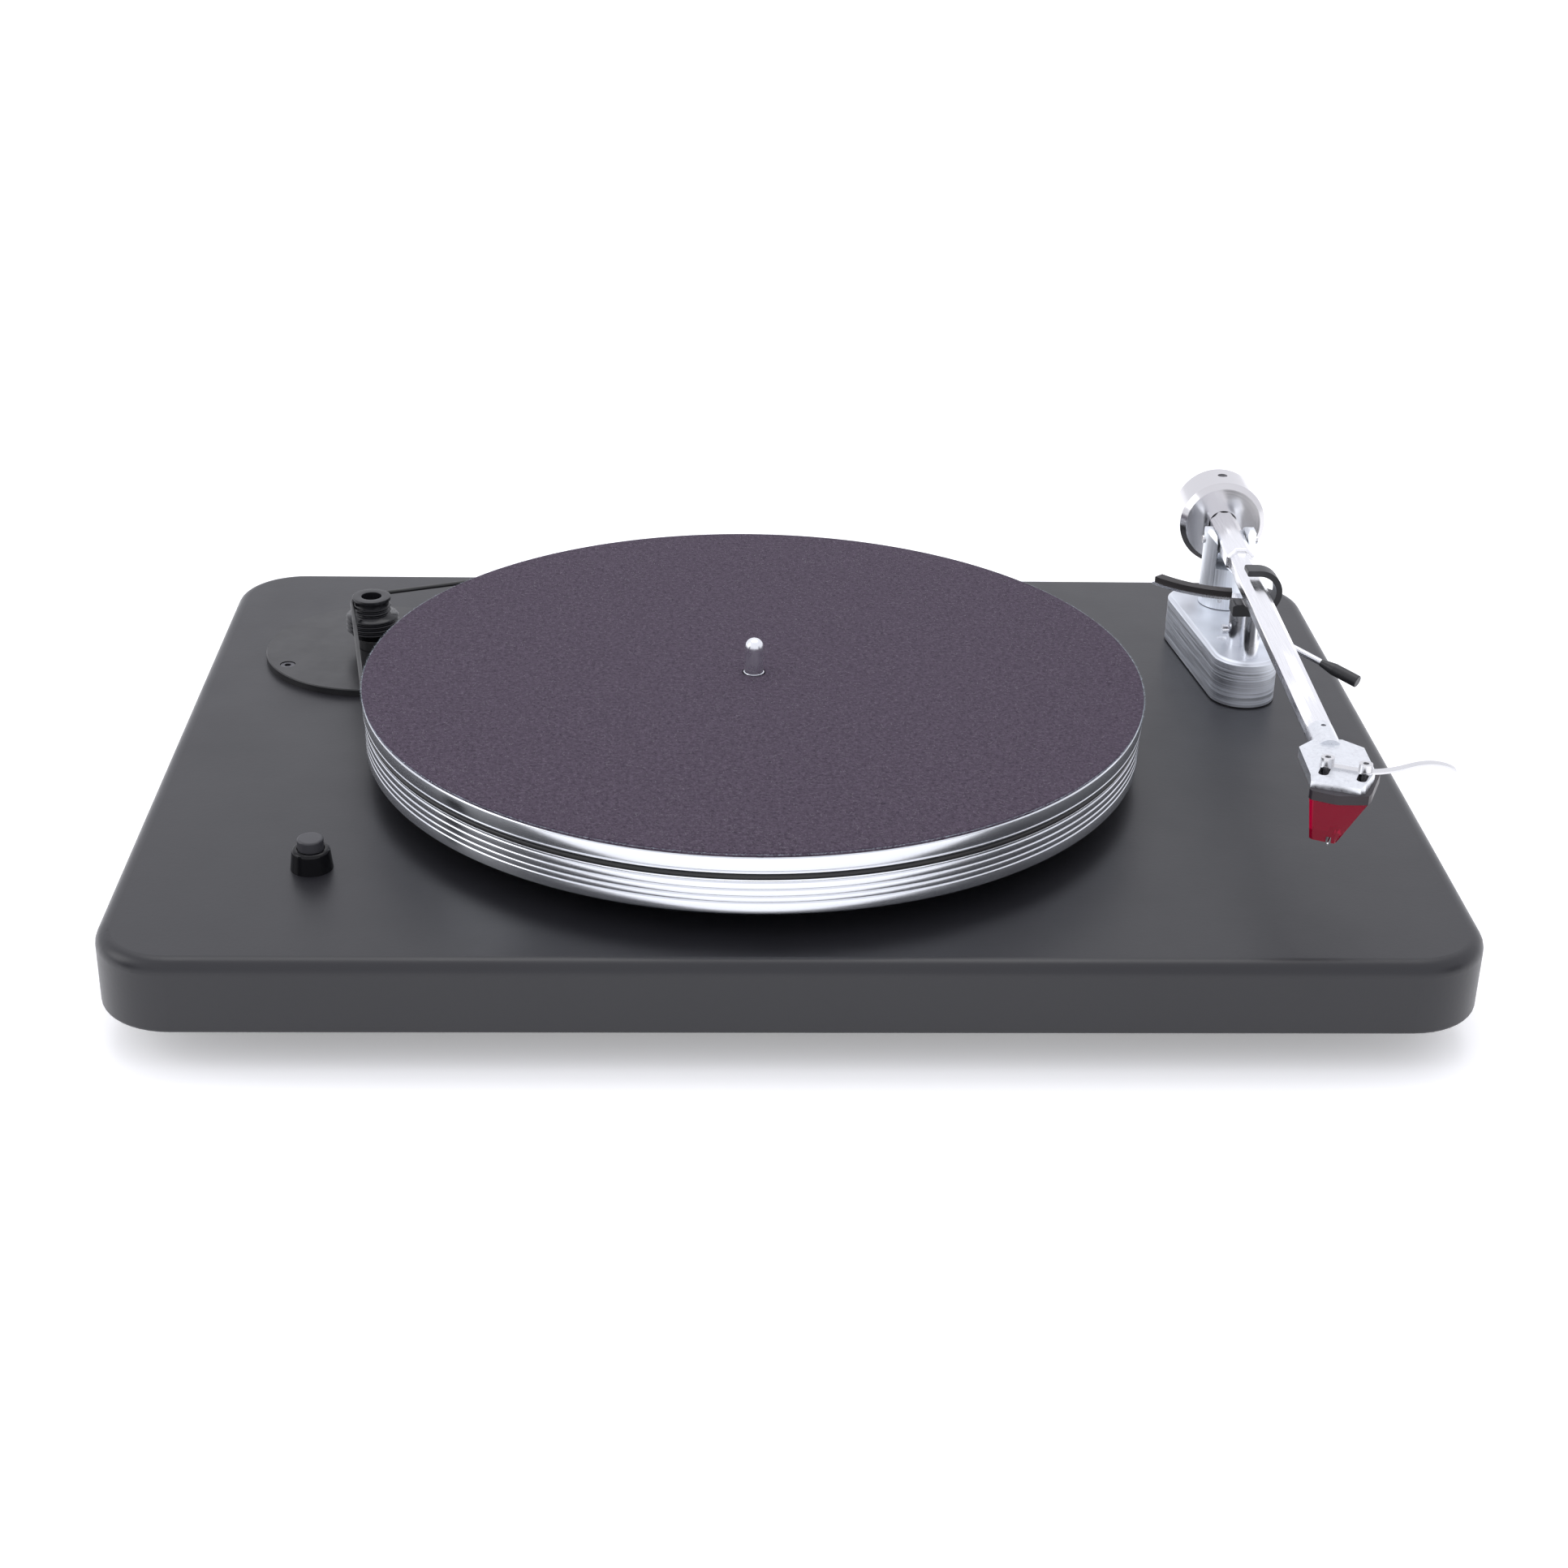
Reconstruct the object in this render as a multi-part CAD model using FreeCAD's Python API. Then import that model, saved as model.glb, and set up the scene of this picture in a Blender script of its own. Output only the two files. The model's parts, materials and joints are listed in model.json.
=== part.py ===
import FreeCAD, Part
import math
import os
from FreeCAD import Vector, Rotation, Placement

# A belt-driven record player on a solid slab plinth with a pivoted tonearm.
#
# Millimetres, +Z up. The front of the deck faces -Y and the arm is on the +X side. Plan positions are
# measured from the centre of the plinth; on export everything moves by FRAME_SHIFT, so that the origin
# is under the middle of the whole deck, sockets included, on the surface that the feet stand on.
# The arm's own pieces are drawn in the arm's frame: X along the tube to the headshell, Y to the arm's
# outer side, Z up, with the origin where the two pivot axes cross.

# ---------------------------------------------------------------- driving dimensions
PLINTH_W, PLINTH_D, PLINTH_T = 468.0, 343.0, 27.0
PLINTH_CORNER_R, PLINTH_EDGE_R = 27.0, 5.0
FOOT_H, FOOT_R, FOOT_INSET = 15.0, 19.0, 58.0
REAR_PROUD = 9.0                      # how far the sockets stand out of the rear edge

SPINDLE_X, SPINDLE_Y = -12.0, -7.0
PLATTER_R, PLATTER_GAP, PLATTER_H = 147.5, 8.3, 22.4
MAT_R, MAT_T = 147.5, 1.3
RECORD_SPINDLE_R, RECORD_SPINDLE_H, SPINDLE_SEAT_R = 3.6, 13.7, 3.9
SHAFT_R, HUB_R, HUB_H = 5.0, 18.0, 6.5

BELT_R, BELT_SLACK = 0.87, 0.1
GROOVE_DEPTH, GROOVE_H, GROOVE_BELOW_TOP = 2.1, 2.4, 8.2

MOTOR_X, MOTOR_Y = -167.5, 82.0
MOTOR_PLATE_R, MOTOR_PLATE_T, MOTOR_R, MOTOR_H = 44.0, 3.0, 21.0, 24.0
PULLEY_TOP_R, PULLEY_LOW_R, PULLEY_H, PULLEY_STEP_H = 7.8, 10.8, 17.1, 9.1
PULLEY_GROOVE_RISE = 14.4             # the belt's groove above the pulley's underside
MOTOR_SHAFT_R = 2.0

SWITCH_X, SWITCH_Y = -167.5, -105.5
BEZEL_R, BEZEL_TOP_R, BEZEL_H = 7.5, 6.6, 7.6
BUTTON_R, BUTTON_PROUD, BUTTON_TRAVEL, BUTTON_LOW = 4.6, 4.0, 2.0, 4.5

ARM_X, ARM_Y = 188.5, 96.5            # the arm's vertical axis
ARM_BASE_H, ARM_BASE_CHAMFER = 20.0, 1.6
NOSE_X, NOSE_Y, NOSE_R = 187.4, 44.3, 13.3
REAR_LEFT_X, REAR_RIGHT_X, REAR_CORNER_Y, REAR_CORNER_R = 179.5, 198.0, 102.2, 13.2
PIVOT_ABOVE_BASE = 27.8               # the tilt axis above the arm base
ARM_HEADING, ARM_RISE = -91.78, 0.8   # degrees: direction of the parked tube in plan, and its slope
YOKE_R, YOKE_SHAFT_R = 10.75, 4.0
SLEEVE_R, SLEEVE_BEVEL = 6.05, 0.9
SLEEVE_FRONT, SLEEVE_REAR = 27.3, -47.0
TUBE_REAR_R, TUBE_R, TUBE_FRONT_R, TUBE_BORE_R = 4.55, 5.05, 4.85, 3.0
TUBE_END, TUBE_SPIGOT_R, TUBE_SPIGOT_L = 195.3, 3.85, 10.0
DRUM_R, DRUM_HALF_W = 8.8, 5.95
WEIGHT_R, WEIGHT_L, WEIGHT_FRONT, WEIGHT_BEVEL = 17.9, 22.5, -18.1, 2.2

PLATE_LOW, PLATE_T = -0.5, 3.9        # headshell plate: underside below the tube's axis, thickness
MOUNT_S, MOUNT_T, MOUNT_HOLES, OFFSET_ANGLE = 232.0, 1.3, 12.7, 22.0
STYLUS_DROP, STYLUS_REACH = 18.0, 14.3

LIFT_X, LIFT_RADIUS, LIFT_R, LIFT_H = 186.0, 44.6, 4.5, 16.7
PAD_T, PAD_W, STRIP_W, STRIP_T, STRIP_TOP = 2.4, 4.4, 5.2, 1.0, 20.5   # STRIP_TOP is above the arm base
CLIP_X, CLIP_Y, CLIP_POST_R, CLIP_SEAT_T = 188.2, 38.7, 3.2, 0.4
CLIP_R, CLIP_BORE_R, CLIP_DEPTH, CLIP_CENTRE = 9.5, 7.1, 7.0, 28.3
CLIP_POST_H = CLIP_CENTRE - CLIP_R - CLIP_SEAT_T
LEVER_SHAFT_Z, LEVER_R, KNOB_R, KNOB_L = 6.0, 1.3, 2.5, 17.0

RUN = 0.04        # radial clearance of a running fit
SEAT = 0.02       # radial clearance of pieces that are fixed together
GAP = 0.35        # between pieces that move past each other
CLEAR = 1.0       # around a body in its pocket

# ---------------------------------------------------------------- levels, above the floor
PLINTH_LOW = FOOT_H
DECK = FOOT_H + PLINTH_T
PLATTER_LOW = DECK + PLATTER_GAP
PLATTER_TOP = PLATTER_LOW + PLATTER_H
MAT_TOP = PLATTER_TOP + MAT_T
BELT_Z = PLATTER_TOP - GROOVE_BELOW_TOP + 0.3
BASE_TOP = DECK + ARM_BASE_H
PIVOT_Z = BASE_TOP + PIVOT_ABOVE_BASE
FRAME_SHIFT = Vector(0, -REAR_PROUD / 2, 0)
PIVOT = Vector(ARM_X, ARM_Y, PIVOT_Z)
YOKE_FRAME = Placement(PIVOT, Rotation(ARM_HEADING, 0, 0))
ARM_FRAME = Placement(PIVOT, Rotation(ARM_HEADING, -ARM_RISE, 0))
UP, BACK, SIDE = Vector(0, 0, 1), Vector(0, 1, 0), Vector(1, 0, 0)

os.makedirs("parts", exist_ok=True)


# ---------------------------------------------------------------- helpers
def save(name, shape):
    """Write one node, moved from plinth positions to the deck's own frame."""
    placed = shape.copy()
    placed.translate(FRAME_SHIFT)
    placed.exportStep("parts/" + name + ".step")
    print(name, round(placed.Volume), placed.isValid(), len(placed.Solids))


def cylinder(x, y, z, radius, height):
    """An upright cylinder whose lower face is at z."""
    return Part.makeCylinder(radius, height, Vector(x, y, z))


def bar(start, end, radius):
    """A round bar between two points."""
    along = end - start
    return Part.makeCylinder(radius, along.Length, start, along)


def lathe(x, y, outline):
    """A turned piece: (radius, z) points joined by straight lines and spun about a vertical axis."""
    points = [Vector(x + radius, y, z) for radius, z in outline]
    face = Part.Face(Part.makePolygon(points + points[:1]))
    return face.revolve(Vector(x, y, 0), UP, 360)


def lathe_along(outline):
    """A turned piece about the X axis: (distance along it, radius) points."""
    points = [Vector(along, 0, radius) for along, radius in outline]
    face = Part.Face(Part.makePolygon(points + points[:1]))
    return face.revolve(Vector(0, 0, 0), SIDE, 360)


def prism(points, z, height):
    """A straight-sided block on a closed plan outline."""
    corners = [Vector(x, y, z) for x, y in points]
    return Part.Face(Part.makePolygon(corners + corners[:1])).extrude(Vector(0, 0, height))


def edges_at(shape, z):
    """The edges that lie wholly at one height."""
    return [e for e in shape.Edges if abs(e.BoundBox.ZMin - z) < 1e-4 and abs(e.BoundBox.ZMax - z) < 1e-4]


def group(shapes):
    """Separate solids that share one node."""
    return Part.makeCompound(shapes)


def ring_of(count, x, y, radius, start=0.0):
    """Evenly spaced points on a circle, as (x, y)."""
    turns = [math.radians(start + 360.0 * i / count) for i in range(count)]
    return [(x + radius * math.cos(a), y + radius * math.sin(a)) for a in turns]


def socket_screw(x, y, z, shank_r, shank_l, head_r, head_h):
    """A socket-head cap screw, head up, with the underside of its head at z."""
    body = cylinder(x, y, z, head_r, head_h).fuse(cylinder(x, y, z - shank_l, shank_r, shank_l))
    key_r = head_r * 0.5
    hexagon = ring_of(6, x, y, key_r)
    return body.cut(prism(hexagon, z + head_h * 0.45, head_h)).removeSplitter()


def hull_outline(circles):
    """The plan outline round circles given counter-clockwise: tangent lines and arcs, as a face at z 0."""
    count = len(circles)
    starts, ends = [], []
    for i in range(count):
        x0, y0, r0 = circles[i]
        x1, y1, r1 = circles[(i + 1) % count]
        length = math.hypot(x1 - x0, y1 - y0)
        heading = math.atan2(y1 - y0, x1 - x0)
        normal = heading - math.acos((r0 - r1) / length)
        ends.append((i, normal))
        starts.append(((i + 1) % count, normal))
    edges = []
    for i in range(count):
        x, y, r = circles[i]
        arrive = starts[i - 1][1]
        leave = ends[i][1]
        while leave < arrive:
            leave += 2 * math.pi
        at = [Vector(x + r * math.cos(a), y + r * math.sin(a), 0)
              for a in (arrive, (arrive + leave) / 2, leave)]
        edges.append(Part.Arc(*at).toShape())
        nx, ny, nr = circles[(i + 1) % count]
        nxt = Vector(nx + nr * math.cos(ends[i][1]), ny + nr * math.sin(ends[i][1]), 0)
        edges.append(Part.LineSegment(at[2], nxt).toShape())
    return Part.Face(Part.Wire(edges))


# ---------------------------------------------------------------- plinth and what it stands on
FOOT_PLACES = [(sx * (PLINTH_W / 2 - FOOT_INSET), sy * (PLINTH_D / 2 - FOOT_INSET))
               for sx in (-1, 1) for sy in (-1, 1)]
FOOT_SCREW_R, FOOT_SCREW_L, FOOT_HEAD_R, FOOT_HEAD_H = 2.5, 16.0, 4.8, 3.0
HOUSING_R, HOUSING_FLANGE_R, HOUSING_FLANGE_T, HOUSING_FLOOR = 13.0, 24.0, 3.5, 2.5
POCKET_W, POCKET_D, POCKET_H = 44.0, 44.0, 16.0
POCKET_X, POCKET_Y = -100.0, PLINTH_D / 2 - 48.0
SWITCH_BODY_R, SWITCH_BODY_H = 6.0, 18.0
SOCKET_Z = PLINTH_LOW + 11.0
PHONO_X, PHONO_PITCH, DC_X, EARTH_X = 150.0, 20.0, -100.0, 192.0
SOCKET_HOLE_R, SOCKET_DEPTH = 5.0, 14.0
BASE_BOLTS = [(NOSE_X, NOSE_Y + 14.0), (REAR_LEFT_X - 1.0, REAR_CORNER_Y + 1.0),
              (REAR_RIGHT_X + 1.0, REAR_CORNER_Y + 1.0)]
BASE_BOLT_R, BASE_BOLT_L = 2.0, 34.0
BASE_BOLT_HEAD_R, BASE_BOLT_HEAD_H = 3.6, 3.0
WIRE_HOLE_R = 5.0


def plinth():
    """A slab with rounded corners and a rounded upper edge, bored for everything that it carries."""
    slab = Part.makeBox(PLINTH_W, PLINTH_D, PLINTH_T, Vector(-PLINTH_W / 2, -PLINTH_D / 2, PLINTH_LOW))
    slab = slab.makeFillet(PLINTH_CORNER_R, [e for e in slab.Edges if e.BoundBox.ZLength > PLINTH_T - 1])
    slab = slab.makeFillet(PLINTH_EDGE_R, edges_at(slab, DECK))
    slab = slab.makeFillet(1.5, edges_at(slab, PLINTH_LOW))
    through = PLINTH_T + 2
    low = PLINTH_LOW - 1
    cuts = [cylinder(SPINDLE_X, SPINDLE_Y, low, HOUSING_R + SEAT, through),
            cylinder(MOTOR_X, MOTOR_Y, low, MOTOR_R + CLEAR, through),
            cylinder(SWITCH_X, SWITCH_Y, low, SWITCH_BODY_R + SEAT, through),
            cylinder(ARM_X, ARM_Y, low, WIRE_HOLE_R, through)]
    pocket_low = Vector(POCKET_X - POCKET_W / 2, POCKET_Y - POCKET_D / 2, low)
    cuts.append(Part.makeBox(POCKET_W, POCKET_D, POCKET_H + 1, pocket_low))
    for x, y in FOOT_PLACES:
        cuts.append(cylinder(x, y, low, FOOT_SCREW_R + SEAT, 1 + FOOT_SCREW_L - FOOT_H + FOOT_HEAD_H + 5.5))
    for x in (PHONO_X - PHONO_PITCH / 2, PHONO_X + PHONO_PITCH / 2, DC_X, EARTH_X):
        start = Vector(x, PLINTH_D / 2 + 1, SOCKET_Z)
        radius = SOCKET_HOLE_R if x != EARTH_X else EARTH_R
        cuts.append(Part.makeCylinder(radius + SEAT, SOCKET_DEPTH + 1, start, Vector(0, -1, 0)))
    for x, y in BASE_BOLTS:
        cuts.append(cylinder(x, y, low, BASE_BOLT_R + 0.3, through))
        cuts.append(cylinder(x, y, low, BASE_BOLT_HEAD_R + 0.3, 1 + BASE_BOLT_HEAD_H + 0.5))
    for x, y in COVER_SCREWS:
        cuts.append(cylinder(x, y, low, COVER_SCREW_R, 9.0))
    for x, y in ring_of(3, SPINDLE_X, SPINDLE_Y, HOUSING_SCREW_CIRCLE, 90):
        cuts.append(cylinder(x, y, DECK - 9.0, HOUSING_SCREW_R, 10.0))
    for x, y in ring_of(PLATE_SCREWS, MOTOR_X, MOTOR_Y, PLATE_SCREW_CIRCLE, PLATE_SCREW_TURN):
        cuts.append(cylinder(x, y, DECK - 9.0, PLATE_SCREW_R, 10.0))
    return slab.cut(cuts)


EARTH_R = 2.5
COVER_T, COVER_LAP, COVER_SCREW_R = 1.5, 6.0, 1.4
COVER_SCREWS = [(POCKET_X + sx * (POCKET_W + COVER_LAP) / 2, POCKET_Y + sy * (POCKET_D + COVER_LAP) / 2)
                for sx in (-1, 1) for sy in (-1, 1)]
HOUSING_SCREW_CIRCLE, HOUSING_SCREW_R = 19.0, 1.5
PLATE_SCREWS, PLATE_SCREW_TURN = 3, 210
PLATE_SCREW_CIRCLE, PLATE_SCREW_R = 38.0, 1.6


def foot(x, y):
    """A rubber foot: a slightly tapered puck with a sunk hole for its screw and a rounded rim."""
    puck = Part.makeCone(FOOT_R - 1.5, FOOT_R, FOOT_H, Vector(x, y, 0))
    puck = puck.makeFillet(1.5, edges_at(puck, 0))
    head_hole = cylinder(x, y, -1, FOOT_HEAD_R + 0.4, FOOT_HEAD_H + 4.0)
    return puck.cut([head_hole, cylinder(x, y, -1, FOOT_SCREW_R + SEAT, FOOT_H + 2)])


def foot_screw(x, y):
    """A pan-head wood screw, up through the foot."""
    head_z = 3.0 + FOOT_HEAD_H
    head = cylinder(x, y, 3.0, FOOT_HEAD_R, FOOT_HEAD_H)
    return head.fuse(cylinder(x, y, head_z, FOOT_SCREW_R, FOOT_SCREW_L)).removeSplitter()


save("plinth", plinth())
save("feet", group([foot(x, y) for x, y in FOOT_PLACES]))
save("foot_screws", group([foot_screw(x, y) for x, y in FOOT_PLACES]))


# ---------------------------------------------------------------- electronics and rear sockets
def service_cover():
    """The thin plate under the electronics pocket."""
    width, depth = POCKET_W + 2 * COVER_LAP, POCKET_D + 2 * COVER_LAP
    plate = Part.makeBox(width, depth, COVER_T,
                         Vector(POCKET_X - width / 2, POCKET_Y - depth / 2, PLINTH_LOW - COVER_T))
    plate = plate.makeFillet(5.0, [e for e in plate.Edges if e.BoundBox.ZLength > COVER_T - 0.1])
    return plate.cut([cylinder(x, y, PLINTH_LOW - 5, COVER_SCREW_R + 0.1, 9) for x, y in COVER_SCREWS])


def cover_screw(x, y):
    """A small pan-head screw, head down."""
    head = cylinder(x, y, PLINTH_LOW - COVER_T - 1.6, 2.6, 1.6)
    return head.fuse(cylinder(x, y, PLINTH_LOW - COVER_T, COVER_SCREW_R, COVER_T + 6.0)).removeSplitter()


def circuit_board():
    """The speed-control board on two rails, with a few blocks for its components."""
    board_z = PLINTH_LOW + 5.0
    board = Part.makeBox(POCKET_W - 4, POCKET_D - 4, 1.6,
                         Vector(POCKET_X - POCKET_W / 2 + 2, POCKET_Y - POCKET_D / 2 + 2, board_z))
    rails = [Part.makeBox(3, POCKET_D - 4, 5.0,
                          Vector(POCKET_X + sx * 17 - 1.5, POCKET_Y - POCKET_D / 2 + 2, PLINTH_LOW))
             for sx in (-1, 1)]
    chips = [Part.makeBox(9, 9, 2.0, Vector(POCKET_X - 12, POCKET_Y - 2, board_z + 1.6)),
             cylinder(POCKET_X + 8, POCKET_Y + 9, board_z + 1.6, 4.0, 7.0),
             cylinder(POCKET_X + 8, POCKET_Y - 6, board_z + 1.6, 3.0, 6.0)]
    return board.fuse(rails + chips).removeSplitter()


def phono_socket(x):
    """A phono jack: threaded body in the plinth, a collar on its face and the plug's outer contact."""
    out = PLINTH_D / 2
    face = Vector(x, out, SOCKET_Z)
    body = Part.makeCylinder(SOCKET_HOLE_R, SOCKET_DEPTH, face, Vector(0, -1, 0))
    collar = Part.makeCylinder(6.5, 1.0, face, BACK)
    shell = Part.makeCylinder(PHONO_R, REAR_PROUD, face, BACK)
    hole = Part.makeCylinder(1.6, REAR_PROUD + 6, face + Vector(0, -6, 0), BACK)
    return body.fuse([collar, shell]).cut(hole).removeSplitter()


def dc_inlet():
    """The barrel socket for the external supply, with its centre pin."""
    face = Vector(DC_X, PLINTH_D / 2, SOCKET_Z)
    body = Part.makeCylinder(SOCKET_HOLE_R, SOCKET_DEPTH, face, Vector(0, -1, 0))
    collar = Part.makeCylinder(7.0, 2.0, face, BACK)
    hollow = Part.makeCylinder(2.8, 13.0, face + Vector(0, -11, 0), BACK)
    pin = Part.makeCylinder(1.0, 11.0, face + Vector(0, -11.5, 0), BACK)
    return body.fuse(collar).cut(hollow).fuse(pin).removeSplitter()


def earth_post():
    """The thumb nut and stud for the earth wire."""
    face = Vector(EARTH_X, PLINTH_D / 2, SOCKET_Z)
    stud = Part.makeCylinder(EARTH_R, SOCKET_DEPTH + 7.5, face + Vector(0, -SOCKET_DEPTH, 0), BACK)
    washer = Part.makeCylinder(5.0, 1.0, face, BACK)
    nut = Part.makeCylinder(4.2, 4.5, face + Vector(0, 2.5, 0), BACK)
    return stud.fuse([washer, nut]).removeSplitter()


PHONO_R = 4.15
save("service_cover", service_cover())
save("cover_screws", group([cover_screw(x, y) for x, y in COVER_SCREWS]))
save("circuit_board", circuit_board())
save("phono_socket_left", phono_socket(PHONO_X - PHONO_PITCH / 2))
save("phono_socket_right", phono_socket(PHONO_X + PHONO_PITCH / 2))
save("dc_inlet", dc_inlet())
save("earth_post", earth_post())

# ---------------------------------------------------------------- main bearing, platter and mat
THRUST_T, BALL_R, BALL_LIFT = 1.0, 2.0, 0.05
HOUSING_LOW = PLINTH_LOW + 0.5
THRUST_TOP = HOUSING_LOW + HOUSING_FLOOR + THRUST_T
BALL_Z = THRUST_TOP + BALL_LIFT + BALL_R
BUSH_R, BUSH_L, BUSH_LOW = 8.0, 14.0, BALL_Z + 4.0
HUB_LOW = PLATTER_LOW - 0.6


def bearing_housing():
    """A flanged cup let into the plinth: it holds the bush and the thrust plate."""
    cup = lathe(SPINDLE_X, SPINDLE_Y, [(0, HOUSING_LOW), (HOUSING_R, HOUSING_LOW), (HOUSING_R, DECK),
                                       (HOUSING_FLANGE_R, DECK), (HOUSING_FLANGE_R, DECK + HOUSING_FLANGE_T - 0.5),
                                       (HOUSING_FLANGE_R - 0.5, DECK + HOUSING_FLANGE_T),
                                       (0, DECK + HOUSING_FLANGE_T)])
    bore_low = HOUSING_LOW + HOUSING_FLOOR
    cuts = [cylinder(SPINDLE_X, SPINDLE_Y, bore_low, BUSH_R + SEAT, PLINTH_T + HOUSING_FLANGE_T)]
    for x, y in ring_of(3, SPINDLE_X, SPINDLE_Y, HOUSING_SCREW_CIRCLE, 90):
        cuts.append(cylinder(x, y, DECK - 1, HOUSING_SCREW_R + 0.2, HOUSING_FLANGE_T + 2))
    return cup.cut(cuts)


def platter():
    """A heavy disc with a belt groove near the top and fine turned lines below it."""
    r = PLATTER_R
    top, low = PLATTER_TOP, PLATTER_LOW
    groove_top, groove_low = BELT_Z + GROOVE_H / 2, BELT_Z - GROOVE_H / 2
    lip = r - 0.5
    points = [(0, low + 0.2), (0, top), (r - 0.6, top), (r, top - 0.6), (r, groove_top + 1.7),
              (r - 1.2, groove_top), (r - GROOVE_DEPTH, groove_top), (r - GROOVE_DEPTH, groove_low),
              (lip, groove_low)]
    for line in LINES_BELOW_GROOVE:
        z = groove_low - line
        points += [(lip, z + 0.3), (lip - 0.35, z), (lip, z - 0.3)]
    points += [(lip, low + 0.8), (lip - 0.8, low), (HUB_R + 30, low), (HUB_R + 30, low + 0.2)]
    disc = lathe(SPINDLE_X, SPINDLE_Y, points)
    recess = cylinder(SPINDLE_X, SPINDLE_Y, low - 1, HUB_R + SEAT, HUB_LOW + HUB_H - low + 1)
    bore = cylinder(SPINDLE_X, SPINDLE_Y, low, SPINDLE_SEAT_R + SEAT, PLATTER_H + 1)
    return disc.cut([recess, bore])


LINES_BELOW_GROOVE = (1.0, 3.8, 6.4, 8.7)


def platter_spindle():
    """The bearing shaft, the hub that the platter sits on and the record spindle, turned from one bar."""
    hub_top = HUB_LOW + HUB_H
    tip = MAT_TOP + RECORD_SPINDLE_H
    r = RECORD_SPINDLE_R
    shaft_low = BALL_Z + 0.4
    body = lathe(SPINDLE_X, SPINDLE_Y, [(0, shaft_low), (SHAFT_R - 0.6, shaft_low), (SHAFT_R, shaft_low + 0.6),
                                        (SHAFT_R, HUB_LOW), (HUB_R, HUB_LOW), (HUB_R, hub_top),
                                        (SPINDLE_SEAT_R, hub_top), (SPINDLE_SEAT_R, MAT_TOP), (r, MAT_TOP),
                                        (r, tip - r), (0, tip - r)])
    dome = Part.makeSphere(r, Vector(SPINDLE_X, SPINDLE_Y, tip - r))
    seat = Part.makeSphere(BALL_R + SEAT, Vector(SPINDLE_X, SPINDLE_Y, BALL_Z))
    return body.fuse(dome).cut(seat).removeSplitter()


def platter_mat():
    """The felt mat, with its centre hole and softened rims."""
    mat = cylinder(SPINDLE_X, SPINDLE_Y, PLATTER_TOP, MAT_R, MAT_T)
    mat = mat.makeFillet(0.6, edges_at(mat, MAT_TOP))
    return mat.cut(cylinder(SPINDLE_X, SPINDLE_Y, PLATTER_TOP - 1, SPINDLE_SEAT_R + 0.5, MAT_T + 2))


save("bearing_housing", bearing_housing())
save("bearing_screws", group([socket_screw(x, y, DECK + HOUSING_FLANGE_T, HOUSING_SCREW_R, 10.0, 2.7, 1.8)
                              for x, y in ring_of(3, SPINDLE_X, SPINDLE_Y, HOUSING_SCREW_CIRCLE, 90)]))
save("bearing_bush", cylinder(SPINDLE_X, SPINDLE_Y, BUSH_LOW, BUSH_R, BUSH_L).cut(
    cylinder(SPINDLE_X, SPINDLE_Y, BUSH_LOW - 1, SHAFT_R + RUN, BUSH_L + 2)))
save("thrust_plate", cylinder(SPINDLE_X, SPINDLE_Y, THRUST_TOP - THRUST_T, BUSH_R, THRUST_T))
save("thrust_ball", Part.makeSphere(BALL_R, Vector(SPINDLE_X, SPINDLE_Y, BALL_Z)))
save("platter_spindle", platter_spindle())
save("platter", platter())
save("platter_mat", platter_mat())

# ---------------------------------------------------------------- motor, pulley and belt
PULLEY_LOW = BELT_Z - PULLEY_GROOVE_RISE
PULLEY_TOP = PULLEY_LOW + PULLEY_H
MOTOR_LOW = DECK - MOTOR_H
ROTOR_R, ROTOR_H, CAN_WALL = 15.0, 14.0, 2.0
PULLEY_GROOVE = 0.8


def motor_plate():
    """The round black plate that the motor hangs from, with sunk screw holes."""
    plate = cylinder(MOTOR_X, MOTOR_Y, DECK, MOTOR_PLATE_R, MOTOR_PLATE_T)
    plate = plate.makeChamfer(0.4, edges_at(plate, DECK + MOTOR_PLATE_T))
    cuts = [cylinder(MOTOR_X, MOTOR_Y, DECK - 1, BOSS_R + GAP, MOTOR_PLATE_T + 2)]
    for x, y in ring_of(PLATE_SCREWS, MOTOR_X, MOTOR_Y, PLATE_SCREW_CIRCLE, PLATE_SCREW_TURN):
        cuts.append(cylinder(x, y, DECK - 1, PLATE_SCREW_R + 0.1, MOTOR_PLATE_T + 2))
        cuts.append(cylinder(x, y, DECK + 1.0, PLATE_SCREW_HEAD_R + 0.2, MOTOR_PLATE_T))
    return plate.cut(cuts)


def motor_body():
    """The motor can with its top boss, hollow for the rotor."""
    can = cylinder(MOTOR_X, MOTOR_Y, MOTOR_LOW, MOTOR_R, MOTOR_H)
    can = can.makeFillet(2.0, edges_at(can, MOTOR_LOW))
    can = can.fuse(cylinder(MOTOR_X, MOTOR_Y, DECK, BOSS_R, BOSS_H))
    hollow = cylinder(MOTOR_X, MOTOR_Y, MOTOR_LOW + CAN_WALL, MOTOR_R - CAN_WALL, MOTOR_H - 2 * CAN_WALL)
    bore = cylinder(MOTOR_X, MOTOR_Y, MOTOR_LOW + CAN_WALL, MOTOR_SHAFT_R + RUN, MOTOR_H + BOSS_H)
    return can.cut([hollow, bore]).removeSplitter()


def motor_rotor():
    """The magnet wheel on the motor's shaft."""
    low = MOTOR_LOW + CAN_WALL + 3.0
    wheel = cylinder(MOTOR_X, MOTOR_Y, low, ROTOR_R, ROTOR_H)
    return wheel.cut(cylinder(MOTOR_X, MOTOR_Y, low - 1, MOTOR_SHAFT_R + SEAT, ROTOR_H + 2))


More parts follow.
